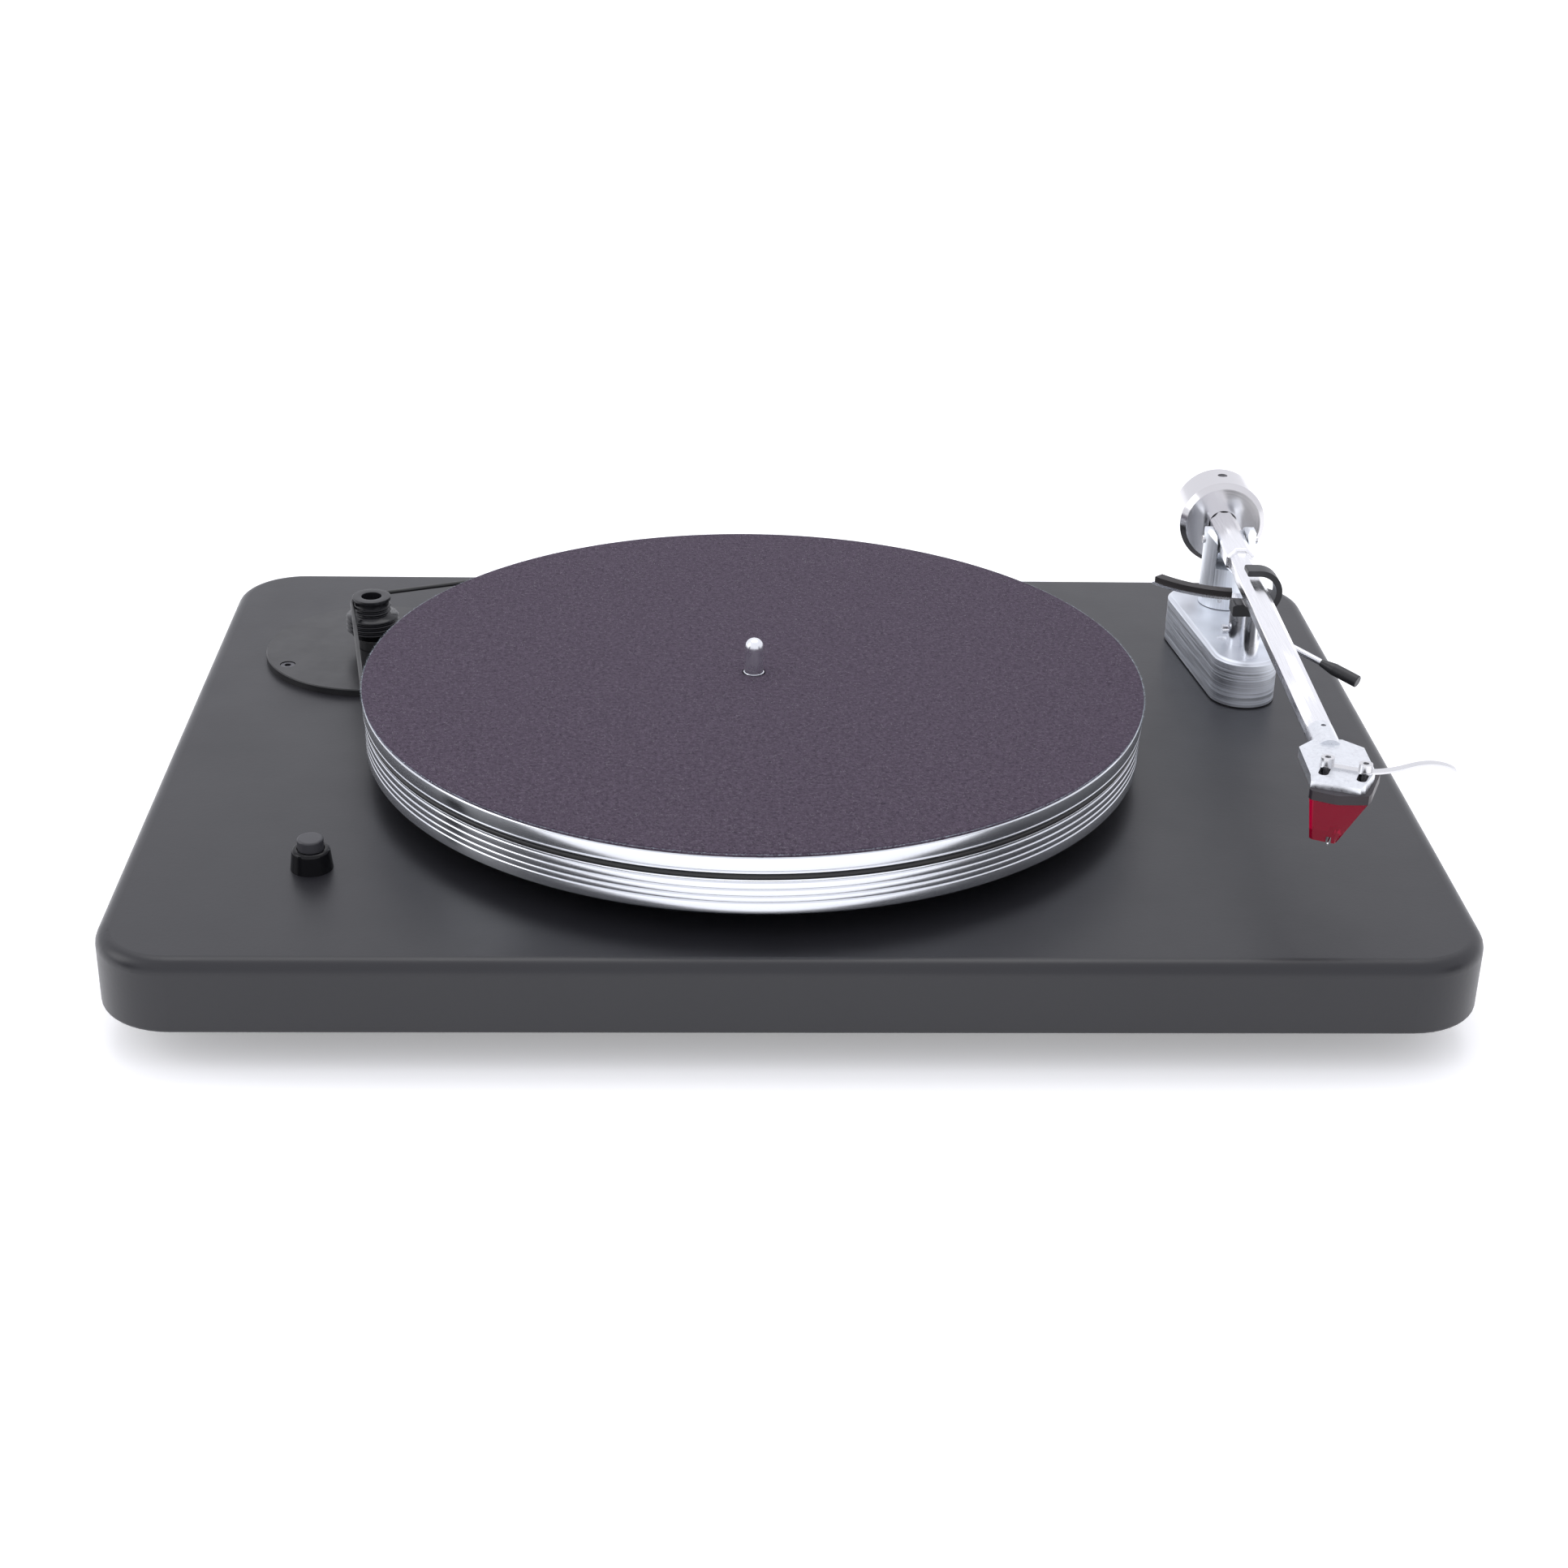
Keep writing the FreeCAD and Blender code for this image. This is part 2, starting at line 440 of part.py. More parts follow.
def motor_pulley():
    """A two-step pulley: each step has a belt groove, and the top has a turned recess."""
    low, top = PULLEY_LOW, PULLEY_TOP
    step = low + PULLEY_STEP_H
    r_low, r_top = PULLEY_LOW_R, PULLEY_TOP_R
    low_mid = low + PULLEY_STEP_H / 2
    half = GROOVE_H / 2
    depth = PULLEY_GROOVE
    points = [(0, low), (r_low - 0.4, low), (r_low, low + 0.4), (r_low, low_mid - half),
              (r_low - depth, low_mid - half), (r_low - depth, low_mid + half), (r_low, low_mid + half),
              (r_low, step - 0.4), (r_low - 0.4, step), (r_top, step),
              (r_top, step + 1.6), (r_top - 0.4, step + 2.0), (r_top, step + 2.4),
              (r_top, BELT_Z - half), (r_top - depth, BELT_Z - half), (r_top - depth, BELT_Z + half),
              (r_top, BELT_Z + half), (r_top, top - 0.5), (r_top - 0.5, top), (4.2, top), (4.2, top - 1.2),
              (0, top - 1.2)]
    body = lathe(MOTOR_X, MOTOR_Y, points)
    return body.cut(cylinder(MOTOR_X, MOTOR_Y, low - 1, MOTOR_SHAFT_R + SEAT, PULLEY_H - 3))


def drive_belt():
    """A round belt in the platter's groove and the pulley's upper groove: two arcs and two tangents."""
    big = PLATTER_R - GROOVE_DEPTH + BELT_SLACK + BELT_R
    small = PULLEY_TOP_R - PULLEY_GROOVE + BELT_SLACK + BELT_R
    dx, dy = MOTOR_X - SPINDLE_X, MOTOR_Y - SPINDLE_Y
    toward = math.atan2(dy, dx)
    spread = math.acos((big - small) / math.hypot(dx, dy))

    def at(x, y, radius, angle):
        return Vector(x + radius * math.cos(angle), y + radius * math.sin(angle), BELT_Z)

    a0, a1 = toward + spread, toward - spread
    far = toward + math.pi
    platter_start, platter_end = at(SPINDLE_X, SPINDLE_Y, big, a0), at(SPINDLE_X, SPINDLE_Y, big, a1)
    pulley_start, pulley_end = at(MOTOR_X, MOTOR_Y, small, a1), at(MOTOR_X, MOTOR_Y, small, a0)
    path = Part.Wire([Part.Arc(platter_start, at(SPINDLE_X, SPINDLE_Y, big, far), platter_end).toShape(),
                      Part.LineSegment(platter_end, pulley_start).toShape(),
                      Part.Arc(pulley_start, at(MOTOR_X, MOTOR_Y, small, toward), pulley_end).toShape(),
                      Part.LineSegment(pulley_end, platter_start).toShape()])
    along = Vector(math.sin(a0), -math.cos(a0), 0)
    section = Part.Wire(Part.makeCircle(BELT_R, platter_start, along))
    return path.makePipeShell([section], True, True)


BOSS_R, BOSS_H = 6.0, 6.5
PLATE_SCREW_HEAD_R = 2.9
save("motor_body", motor_body())
save("motor_plate", motor_plate())
plate_screws = ring_of(PLATE_SCREWS, MOTOR_X, MOTOR_Y, PLATE_SCREW_CIRCLE, PLATE_SCREW_TURN)
save("motor_plate_screws", group([socket_screw(x, y, DECK + 1.0, PLATE_SCREW_R, 10.0, PLATE_SCREW_HEAD_R, 1.7)
                                  for x, y in plate_screws]))
save("motor_rotor", motor_rotor())
save("motor_shaft", cylinder(MOTOR_X, MOTOR_Y, MOTOR_LOW + CAN_WALL + 0.2, MOTOR_SHAFT_R,
                             PULLEY_TOP - 4.0 - MOTOR_LOW - CAN_WALL - 0.2))
save("motor_pulley", motor_pulley())
save("drive_belt", drive_belt())

# ---------------------------------------------------------------- power switch
SPRING_R, SPRING_WIRE, SPRING_PLAY = 3.0, 0.8, 0.05


def switch_bezel():
    """A glossy tapered collar with a rounded lip, standing on the deck."""
    cone = Part.makeCone(BEZEL_R, BEZEL_TOP_R, BEZEL_H, Vector(SWITCH_X, SWITCH_Y, DECK))
    cone = cone.makeFillet(1.2, edges_at(cone, DECK + BEZEL_H))
    return cone.cut(cylinder(SWITCH_X, SWITCH_Y, DECK - 1, BUTTON_R + 0.3, BEZEL_H + 2))


def power_button():
    """The push button: a crowned cap on a skirt that runs inside the collar."""
    top = DECK + BEZEL_H + BUTTON_PROUD
    cap = cylinder(SWITCH_X, SWITCH_Y, DECK + BUTTON_LOW, BUTTON_R, top - DECK - BUTTON_LOW)
    return cap.makeFillet(0.8, edges_at(cap, top))


def switch_spring():
    """The return spring, as a plain sleeve between the switch body and the button."""
    height = BUTTON_LOW - SPRING_PLAY
    sleeve = cylinder(SWITCH_X, SWITCH_Y, DECK, SPRING_R, height)
    return sleeve.cut(cylinder(SWITCH_X, SWITCH_Y, DECK - 1, SPRING_R - SPRING_WIRE, height + 2))


save("switch_bezel", switch_bezel())
save("switch_body", cylinder(SWITCH_X, SWITCH_Y, DECK - SWITCH_BODY_H, SWITCH_BODY_R, SWITCH_BODY_H))
save("switch_spring", switch_spring())
save("power_button", power_button())

# ---------------------------------------------------------------- arm base, clip post and clip
RACE_R, RACE_H = 8.0, 5.0
LOCK_X, LOCK_Y, LOCK_R = 180.5, 57.0, 1.0     # a spare countersunk hole
GASKET_T = 0.6


def arm_base_block(low, height, inset=0.0):
    """The rounded three-cornered plan, pulled in by inset and raised from low."""
    circles = [(NOSE_X, NOSE_Y, NOSE_R - inset), (REAR_RIGHT_X, REAR_CORNER_Y, REAR_CORNER_R - inset),
               (REAR_LEFT_X, REAR_CORNER_Y, REAR_CORNER_R - inset)]
    face = hull_outline(circles)
    face.translate(Vector(0, 0, low))
    return face.extrude(Vector(0, 0, height))


def arm_base():
    """A milled aluminium block with a bevelled upper edge, bored for the arm's bearing and its fittings."""
    block = arm_base_block(DECK + GASKET_T, ARM_BASE_H - GASKET_T)
    block = block.makeChamfer(ARM_BASE_CHAMFER, edges_at(block, BASE_TOP))
    through = ARM_BASE_H + 2
    cuts = [cylinder(ARM_X, ARM_Y, DECK - 1, YOKE_SHAFT_R + 1.2, through),
            cylinder(ARM_X, ARM_Y, BASE_TOP - RACE_H, RACE_R + SEAT, RACE_H + 1),
            cylinder(ARM_X, ARM_Y, DECK, RACE_R + SEAT, GASKET_T + RACE_H),
            cylinder(LIFT_X, LIFT_Y, BASE_TOP - 6.0, LIFT_SPIGOT_R + SEAT, 7.0),
            cylinder(CLIP_X, CLIP_Y, BASE_TOP - 6.0, CLIP_SPIGOT_R + SEAT, 7.0)]
    for x, y in BASE_BOLTS:
        cuts.append(cylinder(x, y, DECK, BASE_BOLT_R, BASE_BOLT_L - PLINTH_T + BASE_BOLT_HEAD_H + 0.5))
    cuts.append(cylinder(LOCK_X, LOCK_Y, BASE_TOP - 4.0, LOCK_R, 5.0))
    cuts.append(Part.makeCone(LOCK_R, LOCK_R + 1.2, 1.2, Vector(LOCK_X, LOCK_Y, BASE_TOP - 1.2)))
    return block.cut(cuts)


def arm_base_gasket():
    """The thin dark gasket under the block."""
    sheet = arm_base_block(DECK, GASKET_T, 0.3)
    cuts = [cylinder(ARM_X, ARM_Y, DECK - 1, RACE_R + 0.3, GASKET_T + 2)]
    cuts += [cylinder(x, y, DECK - 1, BASE_BOLT_R + 0.3, GASKET_T + 2) for x, y in BASE_BOLTS]
    return sheet.cut(cuts)


def base_bolt(x, y):
    """A cap screw up through the plinth into the block."""
    seat = PLINTH_LOW + BASE_BOLT_HEAD_H + 0.4
    head = cylinder(x, y, seat - BASE_BOLT_HEAD_H, BASE_BOLT_HEAD_R, BASE_BOLT_HEAD_H)
    return head.fuse(cylinder(x, y, seat, BASE_BOLT_R, BASE_BOLT_L - 3.0)).removeSplitter()


def bearing_race(z):
    """One of the two races that the arm's shaft turns in."""
    ring = cylinder(ARM_X, ARM_Y, z, RACE_R, RACE_H)
    return ring.cut(cylinder(ARM_X, ARM_Y, z - 1, YOKE_SHAFT_R + RUN, RACE_H + 2))


def clip_post():
    """The polished post of the arm rest, with a spigot in the block."""
    post = cylinder(CLIP_X, CLIP_Y, BASE_TOP, CLIP_POST_R, CLIP_POST_H)
    post = post.makeChamfer(0.3, edges_at(post, BASE_TOP + CLIP_POST_H))
    return post.fuse(cylinder(CLIP_X, CLIP_Y, BASE_TOP - 5.8, CLIP_SPIGOT_R, 5.8)).removeSplitter()


def arm_clip():
    """The C-shaped rest that hooks over the parked tube and is open towards the platter."""
    centre_z = BASE_TOP + CLIP_CENTRE
    axis = Vector(0, CLIP_DEPTH, 0)
    start = Vector(CLIP_X, CLIP_Y - CLIP_DEPTH / 2, centre_z)
    ring = Part.makeCylinder(CLIP_R, CLIP_DEPTH, start, axis)
    hollow = Part.makeCylinder(CLIP_BORE_R, CLIP_DEPTH + 2, start - Vector(0, 1, 0), axis)
    mouth = Part.makeBox(2 * CLIP_R, CLIP_DEPTH + 2, 2 * CLIP_R,
                         Vector(CLIP_X - 2 * CLIP_R, CLIP_Y - CLIP_DEPTH / 2 - 1, centre_z - CLIP_LIP_RISE))
    hook = Part.makeBox(CLIP_HOOK, CLIP_DEPTH, CLIP_R - CLIP_BORE_R,
                        Vector(CLIP_X - CLIP_HOOK, CLIP_Y - CLIP_DEPTH / 2, centre_z + CLIP_BORE_R))
    hook = hook.makeFillet(0.8, [e for e in hook.Edges if e.BoundBox.YLength > CLIP_DEPTH - 0.1
                                 and e.BoundBox.XMax < CLIP_X - 1])
    low = BASE_TOP + CLIP_POST_H
    lip_top = centre_z - CLIP_LIP_RISE - 0.4
    lip = Part.makeBox(CLIP_LIP_L, CLIP_DEPTH, lip_top - low,
                       Vector(CLIP_X - CLIP_LIP_L, CLIP_Y - CLIP_DEPTH / 2, low))
    lip = lip.makeFillet(0.8, [e for e in lip.Edges if e.BoundBox.YLength > CLIP_DEPTH - 0.1])
    seat = Part.makeBox(2 * CLIP_POST_R + 1, CLIP_DEPTH, lip_top - low,
                        Vector(CLIP_X - CLIP_POST_R - 0.5, CLIP_Y - CLIP_DEPTH / 2, low))
    return ring.fuse([seat, lip]).cut([hollow, mouth]).fuse(hook).removeSplitter()


LIFT_Y = ARM_Y - math.sqrt(LIFT_RADIUS ** 2 - (ARM_X - LIFT_X) ** 2)
LIFT_SPIGOT_R, CLIP_SPIGOT_R = 2.5, 2.0
CLIP_LIP_RISE, CLIP_HOOK, CLIP_LIP_L = 4.9, 5.1, 9.5
save("arm_base", arm_base())
save("arm_base_gasket", arm_base_gasket())
save("arm_base_bolts", group([base_bolt(x, y) for x, y in BASE_BOLTS]))
save("arm_bearing_races", group([bearing_race(DECK + GASKET_T), bearing_race(BASE_TOP - RACE_H)]))
save("clip_post", clip_post())
save("arm_clip", arm_clip())

# ---------------------------------------------------------------- lift and cue lever
PISTON_R = 1.8
LEVER_Z = BASE_TOP + LEVER_SHAFT_Z
LEVER_BEND = Vector(LIFT_X + 7.8, LIFT_Y, LEVER_Z)
LEVER_REACH = Vector(34.8, -30.0, -9.7)
STRIP_Z = BASE_TOP + STRIP_TOP - STRIP_T


def lift_cylinder():
    """The damped lift's body: bored for the piston and, crosswise, for the lever's cam shaft."""
    body = cylinder(LIFT_X, LIFT_Y, BASE_TOP, LIFT_R, LIFT_H)
    body = body.makeChamfer(0.4, edges_at(body, BASE_TOP + LIFT_H))
    body = body.fuse(cylinder(LIFT_X, LIFT_Y, BASE_TOP - 5.8, LIFT_SPIGOT_R, 5.8))
    bore = cylinder(LIFT_X, LIFT_Y, LEVER_Z + 2.0, PISTON_R + RUN, LIFT_H)
    cross = bar(Vector(LIFT_X - 10, LIFT_Y, LEVER_Z), Vector(LIFT_X + 10, LIFT_Y, LEVER_Z), LEVER_R + RUN)
    return body.cut([bore, cross]).removeSplitter()


def arc_strip(z, height, width, from_angle, to_angle):
    """A flat strip bent round the arm's vertical axis; angles are counted from -Y towards -X."""
    inner, outer = LIFT_RADIUS - width / 2, LIFT_RADIUS + width / 2

    def at(radius, angle):
        turn = math.radians(angle)
        return Vector(ARM_X - radius * math.sin(turn), ARM_Y - radius * math.cos(turn), z)

    middle = (from_angle + to_angle) / 2
    outline = Part.Wire([Part.Arc(at(outer, from_angle), at(outer, middle), at(outer, to_angle)).toShape(),
                         Part.LineSegment(at(outer, to_angle), at(inner, to_angle)).toShape(),
                         Part.Arc(at(inner, to_angle), at(inner, middle), at(inner, from_angle)).toShape(),
                         Part.LineSegment(at(inner, from_angle), at(outer, from_angle)).toShape()])
    return Part.Face(outline).extrude(Vector(0, 0, height))


def lever_rod():
    """The cam shaft through the lift and the thin rod that leaves it for the knob."""
    knob_start = LEVER_BEND + LEVER_REACH - Vector(LEVER_REACH).normalize() * (KNOB_L - 4.0)
    shaft = bar(Vector(LIFT_X - LIFT_R - 1.4, LIFT_Y, LEVER_Z), LEVER_BEND, LEVER_R)
    rod = bar(LEVER_BEND, knob_start, LEVER_R)
    elbow = Part.makeSphere(LEVER_R, LEVER_BEND)
    cap = bar(Vector(LIFT_X - LIFT_R - 2.6, LIFT_Y, LEVER_Z), Vector(LIFT_X - LIFT_R - 0.4, LIFT_Y, LEVER_Z),
              2.0)
    return shaft.fuse([rod, elbow, cap]).removeSplitter()


def lever_knob():
    """The black finger knob: a taper that runs into a plain cylinder."""
    along = Vector(LEVER_REACH).normalize()
    end = LEVER_BEND + LEVER_REACH
    profile = [(-KNOB_L, LEVER_R + 0.2), (-KNOB_L + 6.0, KNOB_R), (-0.3, KNOB_R), (0, KNOB_R - 0.3), (0, 0),
               (-KNOB_L, 0)]
    knob = lathe_along(profile)
    knob = knob.cut(Part.makeCylinder(LEVER_R + SEAT, 4.1, Vector(-KNOB_L - 0.1, 0, 0), SIDE))
    knob.Placement = Placement(end, Rotation(SIDE, along))
    return knob


save("lift_cylinder", lift_cylinder())
save("lift_piston", cylinder(LIFT_X, LIFT_Y, LEVER_Z + 2.2, PISTON_R, STRIP_Z - LEVER_Z - 2.2))
save("lift_platform", arc_strip(STRIP_Z, STRIP_T, STRIP_W, 0.5, 51.0))
save("lift_pad", arc_strip(STRIP_Z + STRIP_T, PAD_T, PAD_W, 9.0, 50.0))
save("cue_lever_rod", lever_rod())
save("cue_lever_knob", lever_knob())

# ---------------------------------------------------------------- yoke: the pillar that turns with the arm
EAR_GAP = 2 * (max(DRUM_HALF_W, SLEEVE_R) + GAP)
YOKE_LOW = BASE_TOP + 0.3 - PIVOT_Z
EAR_TOP, EAR_ARCH_R = 4.9, 10.9
SLOT_LOW = -DRUM_R - 0.9
PIN_R, PIVOT_SCREW_R = 1.0, 1.6
CUP_R, CUP_DEPTH = 1.9, 3.6


def arm_yoke():
    """A round pillar with a domed, slotted top: its two ears hold the pivot screws."""
    pillar = Part.makeCylinder(YOKE_R, 10 - YOKE_LOW, Vector(0, 0, YOKE_LOW))
    tip_r = (YOKE_R - EAR_GAP / 2) / 2
    height = EAR_TOP - tip_r - YOKE_LOW
    block = Part.makeBox(4 * YOKE_R, 4 * YOKE_R, height, Vector(-2 * YOKE_R, -2 * YOKE_R, YOKE_LOW))
    tips = [Part.makeCylinder(tip_r, 4 * YOKE_R,
                              Vector(-2 * YOKE_R, side * (YOKE_R - tip_r), EAR_TOP - tip_r), SIDE)
            for side in (-1, 1)]
    pillar = pillar.common(block.fuse(tips))
    arch = Part.makeCylinder(EAR_ARCH_R, 4 * YOKE_R, Vector(0, -2 * YOKE_R, EAR_TOP - EAR_ARCH_R), BACK)
    below = Part.makeBox(4 * YOKE_R, 4 * YOKE_R, EAR_TOP - EAR_ARCH_R - YOKE_LOW,
                         Vector(-2 * YOKE_R, -2 * YOKE_R, YOKE_LOW))
    pillar = pillar.common(arch.fuse(below))
    slot = Part.makeBox(4 * YOKE_R, EAR_GAP, 40, Vector(-2 * YOKE_R, -EAR_GAP / 2, SLOT_LOW))
    screws = Part.makeCylinder(PIVOT_SCREW_R + SEAT, 4 * YOKE_R, Vector(0, -2 * YOKE_R, 0), BACK)
    shaft = Part.makeCylinder(YOKE_SHAFT_R + SEAT, 10.0, Vector(0, 0, YOKE_LOW - 0.3))
    wires = Part.makeCylinder(1.6, -SLOT_LOW - YOKE_LOW, Vector(0, 0, YOKE_LOW))
    grubs = [Part.makeCylinder(GRUB_R + SEAT, YOKE_R + 1, Vector(0, 0, YOKE_LOW + GRUB_UP), direction)
             for direction in GRUB_WAYS]
    return pillar.cut([slot, screws, shaft, wires] + grubs).removeSplitter()


def grub_screw(direction):
    """A grub screw sunk just under the pillar's surface."""
    way = Vector(direction).normalize()
    return Part.makeCylinder(GRUB_R, YOKE_R - 0.6 - YOKE_SHAFT_R - 0.1,
                             Vector(0, 0, YOKE_LOW + GRUB_UP) + way * (YOKE_SHAFT_R + 0.1), way)


def pivot_screw(side):
    """One pivot screw: the threaded part in its ear and the pin that the arm tilts on."""
    out, face = YOKE_R + 0.7, EAR_GAP / 2
    thread = bar(Vector(0, side * out, 0), Vector(0, side * face, 0), PIVOT_SCREW_R)
    pin = bar(Vector(0, side * face, 0), Vector(0, side * (CUP_DEPTH + 0.6), 0), PIN_R)
    slot = Part.makeBox(0.5, 1.0, 2.4, Vector(-0.25, side * out - 0.5, -1.2))
    return thread.fuse(pin).cut(slot).removeSplitter()


GRUB_R, GRUB_UP = 1.0, 4.0
GRUB_WAYS = [Vector(1, -0.35, 0), Vector(0.45, -1, 0)]


def place(shape, frame):
    """Put a piece from the arm's or the yoke's frame into the deck."""
    return shape.transformed(frame.toMatrix())


save("arm_yoke", place(arm_yoke(), YOKE_FRAME))
save("yoke_shaft", cylinder(ARM_X, ARM_Y, DECK + 2.0, YOKE_SHAFT_R, BASE_TOP + 10.0 - DECK - 2.0).cut(
    cylinder(ARM_X, ARM_Y, DECK, 1.6, 60)))
save("yoke_grub_screws", place(group([grub_screw(way) for way in GRUB_WAYS]), YOKE_FRAME))
save("pivot_screws", place(group([pivot_screw(1), pivot_screw(-1)]), YOKE_FRAME))


# ---------------------------------------------------------------- the arm itself
def arm_sleeve():
    """The stout rear tube that carries the counterweight and holds the front tube."""
    end_r = SLEEVE_R - SLEEVE_BEVEL
    sleeve = lathe_along([(SLEEVE_REAR, 0), (SLEEVE_REAR, end_r), (SLEEVE_REAR + SLEEVE_BEVEL, SLEEVE_R),
                          (SLEEVE_FRONT - SLEEVE_BEVEL, SLEEVE_R), (SLEEVE_FRONT, end_r), (SLEEVE_FRONT, 0)])
    bore = Part.makeCylinder(TUBE_REAR_R + SEAT, SLEEVE_FRONT, Vector(TUBE_REAR_END - 1.0, 0, 0), SIDE)
    hollow = Part.makeCylinder(TUBE_BORE_R, SLEEVE_FRONT - SLEEVE_REAR - 3, Vector(SLEEVE_REAR + 3, 0, 0), SIDE)
    cups = Part.makeCylinder(CUP_R + SEAT, 20, Vector(0, -10, 0), BACK)
    return sleeve.cut([bore, hollow, cups])


def pivot_drum():
    """The saddle under the sleeve at the pivots: the lower part of a drum about the tilt axis."""
    drum = Part.makeCylinder(DRUM_R, 2 * DRUM_HALF_W, Vector(0, -DRUM_HALF_W, 0), BACK)
    keep = Part.makeBox(4 * DRUM_R, 4 * DRUM_R, DRUM_R - 3.0, Vector(-2 * DRUM_R, -2 * DRUM_R, -DRUM_R))
    sleeve = Part.makeCylinder(SLEEVE_R + SEAT, 4 * DRUM_R, Vector(-2 * DRUM_R, 0, 0), SIDE)
    return drum.common(keep).cut(sleeve)


def pivot_cup(side):
    """The cup that a pivot pin turns in, pressed through the sleeve's wall."""
    outer = bar(Vector(0, side * SLEEVE_R, 0), Vector(0, side * CUP_DEPTH, 0), CUP_R)
    bore = bar(Vector(0, side * (SLEEVE_R + 1), 0), Vector(0, side * (CUP_DEPTH + 0.5), 0), PIN_R + RUN)
    return outer.cut(bore)


def arm_tube():
    """The long polished tube: it swells gently out of the sleeve and ends in a spigot for the headshell."""
    middle = (SLEEVE_FRONT + TUBE_END) / 2
    spigot_end = TUBE_END + TUBE_SPIGOT_L
    return lathe_along([(TUBE_REAR_END, TUBE_BORE_R), (TUBE_REAR_END, TUBE_REAR_R), (SLEEVE_FRONT, TUBE_REAR_R),
                        (SLEEVE_FRONT + TUBE_SWELL, TUBE_R), (middle, TUBE_R), (TUBE_END, TUBE_FRONT_R),
                        (TUBE_END, TUBE_SPIGOT_R), (spigot_end, TUBE_SPIGOT_R), (spigot_end, TUBE_BORE_R)])


TUBE_REAR_END, TUBE_SWELL = 8.0, 22.0
SHELL_OUTLINE = [(208.0, -4.9), (214.4, -11.1), (238.0, -11.3), (243.6, 4.2), (242.6, 6.0), (233.0, 11.0),
                 (214.4, 11.1), (208.0, 4.9)]
ALONG = Vector(math.cos(math.radians(OFFSET_ANGLE)), -math.sin(math.radians(OFFSET_ANGLE)), 0)
ACROSS = Vector(math.sin(math.radians(OFFSET_ANGLE)), math.cos(math.radians(OFFSET_ANGLE)), 0)
MOUNT = Vector(MOUNT_S, MOUNT_T, 0)
CART_FRAME = Placement(Vector(MOUNT_S, MOUNT_T, PLATE_LOW), Rotation(-OFFSET_ANGLE, 0, 0))
SLOT_R, SLOT_L, FRONT_BEVEL = 1.7, 6.0, 1.6
CART_SCREW_R = 1.25
PLATE_TOP = PLATE_LOW + PLATE_T
STRAP_T = 0.7


def headshell():
    """The flat shell: a round collar on the tube and a plate with two slots for the cartridge screws."""
    plate = prism(SHELL_OUTLINE, PLATE_LOW, PLATE_T)
    front = [e for e in edges_at(plate, PLATE_TOP) if e.BoundBox.XMin > SHELL_OUTLINE[2][0] - 0.1
             and e.BoundBox.XMax > SHELL_OUTLINE[3][0] - 0.1 and e.Length > 5]
    plate = plate.makeChamfer(FRONT_BEVEL, front)
    collar = Part.makeCylinder(COLLAR_R, COLLAR_L, Vector(TUBE_END, 0, 0), SIDE)
    slope = Part.makeBox(20, 20, 20, Vector(0, -10, 0))
    slope.Placement = Placement(Vector(212.0, 0, PLATE_TOP - 0.6), Rotation(0, 14, 0))
    under = Part.makeBox(20, 20, 20, Vector(0, -10, -20))
    under.Placement = Placement(Vector(206.0, 0, -COLLAR_R), Rotation(0, -38, 0))
    collar = collar.cut([slope, under])
    shell = plate.fuse(collar)
    cuts = [Part.makeCylinder(TUBE_SPIGOT_R + SEAT, TUBE_SPIGOT_L + 0.5, Vector(TUBE_END, 0, 0), SIDE),
            Part.makeCylinder(COLLAR_SCREW_R + SEAT, 10, Vector(COLLAR_SCREW_S, 0, 0), UP)]
    for side in (-1, 1):
        at = MOUNT + ACROSS * (side * MOUNT_HOLES / 2)
        front = at + ALONG * SLOT_L
        for centre in (at, front):
            cuts.append(cylinder(centre.x, centre.y, -10, SLOT_R, 20))
        span = [at + ACROSS * SLOT_R, front + ACROSS * SLOT_R, front - ACROSS * SLOT_R, at - ACROSS * SLOT_R]
        cuts.append(prism([(p.x, p.y) for p in span], -10, 20))
    return shell.cut(cuts).removeSplitter()


COLLAR_SCREW_S, COLLAR_SCREW_R, COLLAR_R, COLLAR_L = 199.4, 0.9, 4.9, 16.5


def finger_lift():
    """A strap under the two cartridge screws that runs out into a curved finger blade."""
    z = PLATE_TOP
    left, right = MOUNT - ACROSS * (MOUNT_HOLES / 2), MOUNT + ACROSS * (MOUNT_HOLES / 2)
    strap = cylinder(left.x, left.y, z, 2.5, STRAP_T).fuse(cylinder(right.x, right.y, z, 2.5, STRAP_T))
    span = [left + ALONG * 1.5, right + ALONG * 1.5, right - ALONG * 1.5, left - ALONG * 1.5]
    strap = strap.fuse(prism([(p.x, p.y) for p in span], z, STRAP_T))
    strap = strap.cut([cylinder(p.x, p.y, z - 1, CART_SCREW_R + SEAT, 4) for p in (left, right)])
    lower = [Vector(0, right.y + dy, z + dz) for dy, dz in BLADE_POINTS]
    curve = Part.BSplineCurve()
    curve.interpolate(lower)
    raised = Part.BSplineCurve()
    raised.interpolate([p + Vector(0, 0, STRAP_T) for p in lower])
    first, last = lower[0], lower[-1]
    side_wire = Part.Wire([curve.toShape(), Part.LineSegment(last, last + Vector(0, 0, STRAP_T)).toShape(),
                           raised.toShape(), Part.LineSegment(first + Vector(0, 0, STRAP_T), first).toShape()])
    blade = Part.Face(side_wire).extrude(Vector(BLADE_W, 0, 0))
    blade.translate(Vector(right.x - BLADE_W / 2, 0, 0))
    return strap.fuse(blade).removeSplitter()


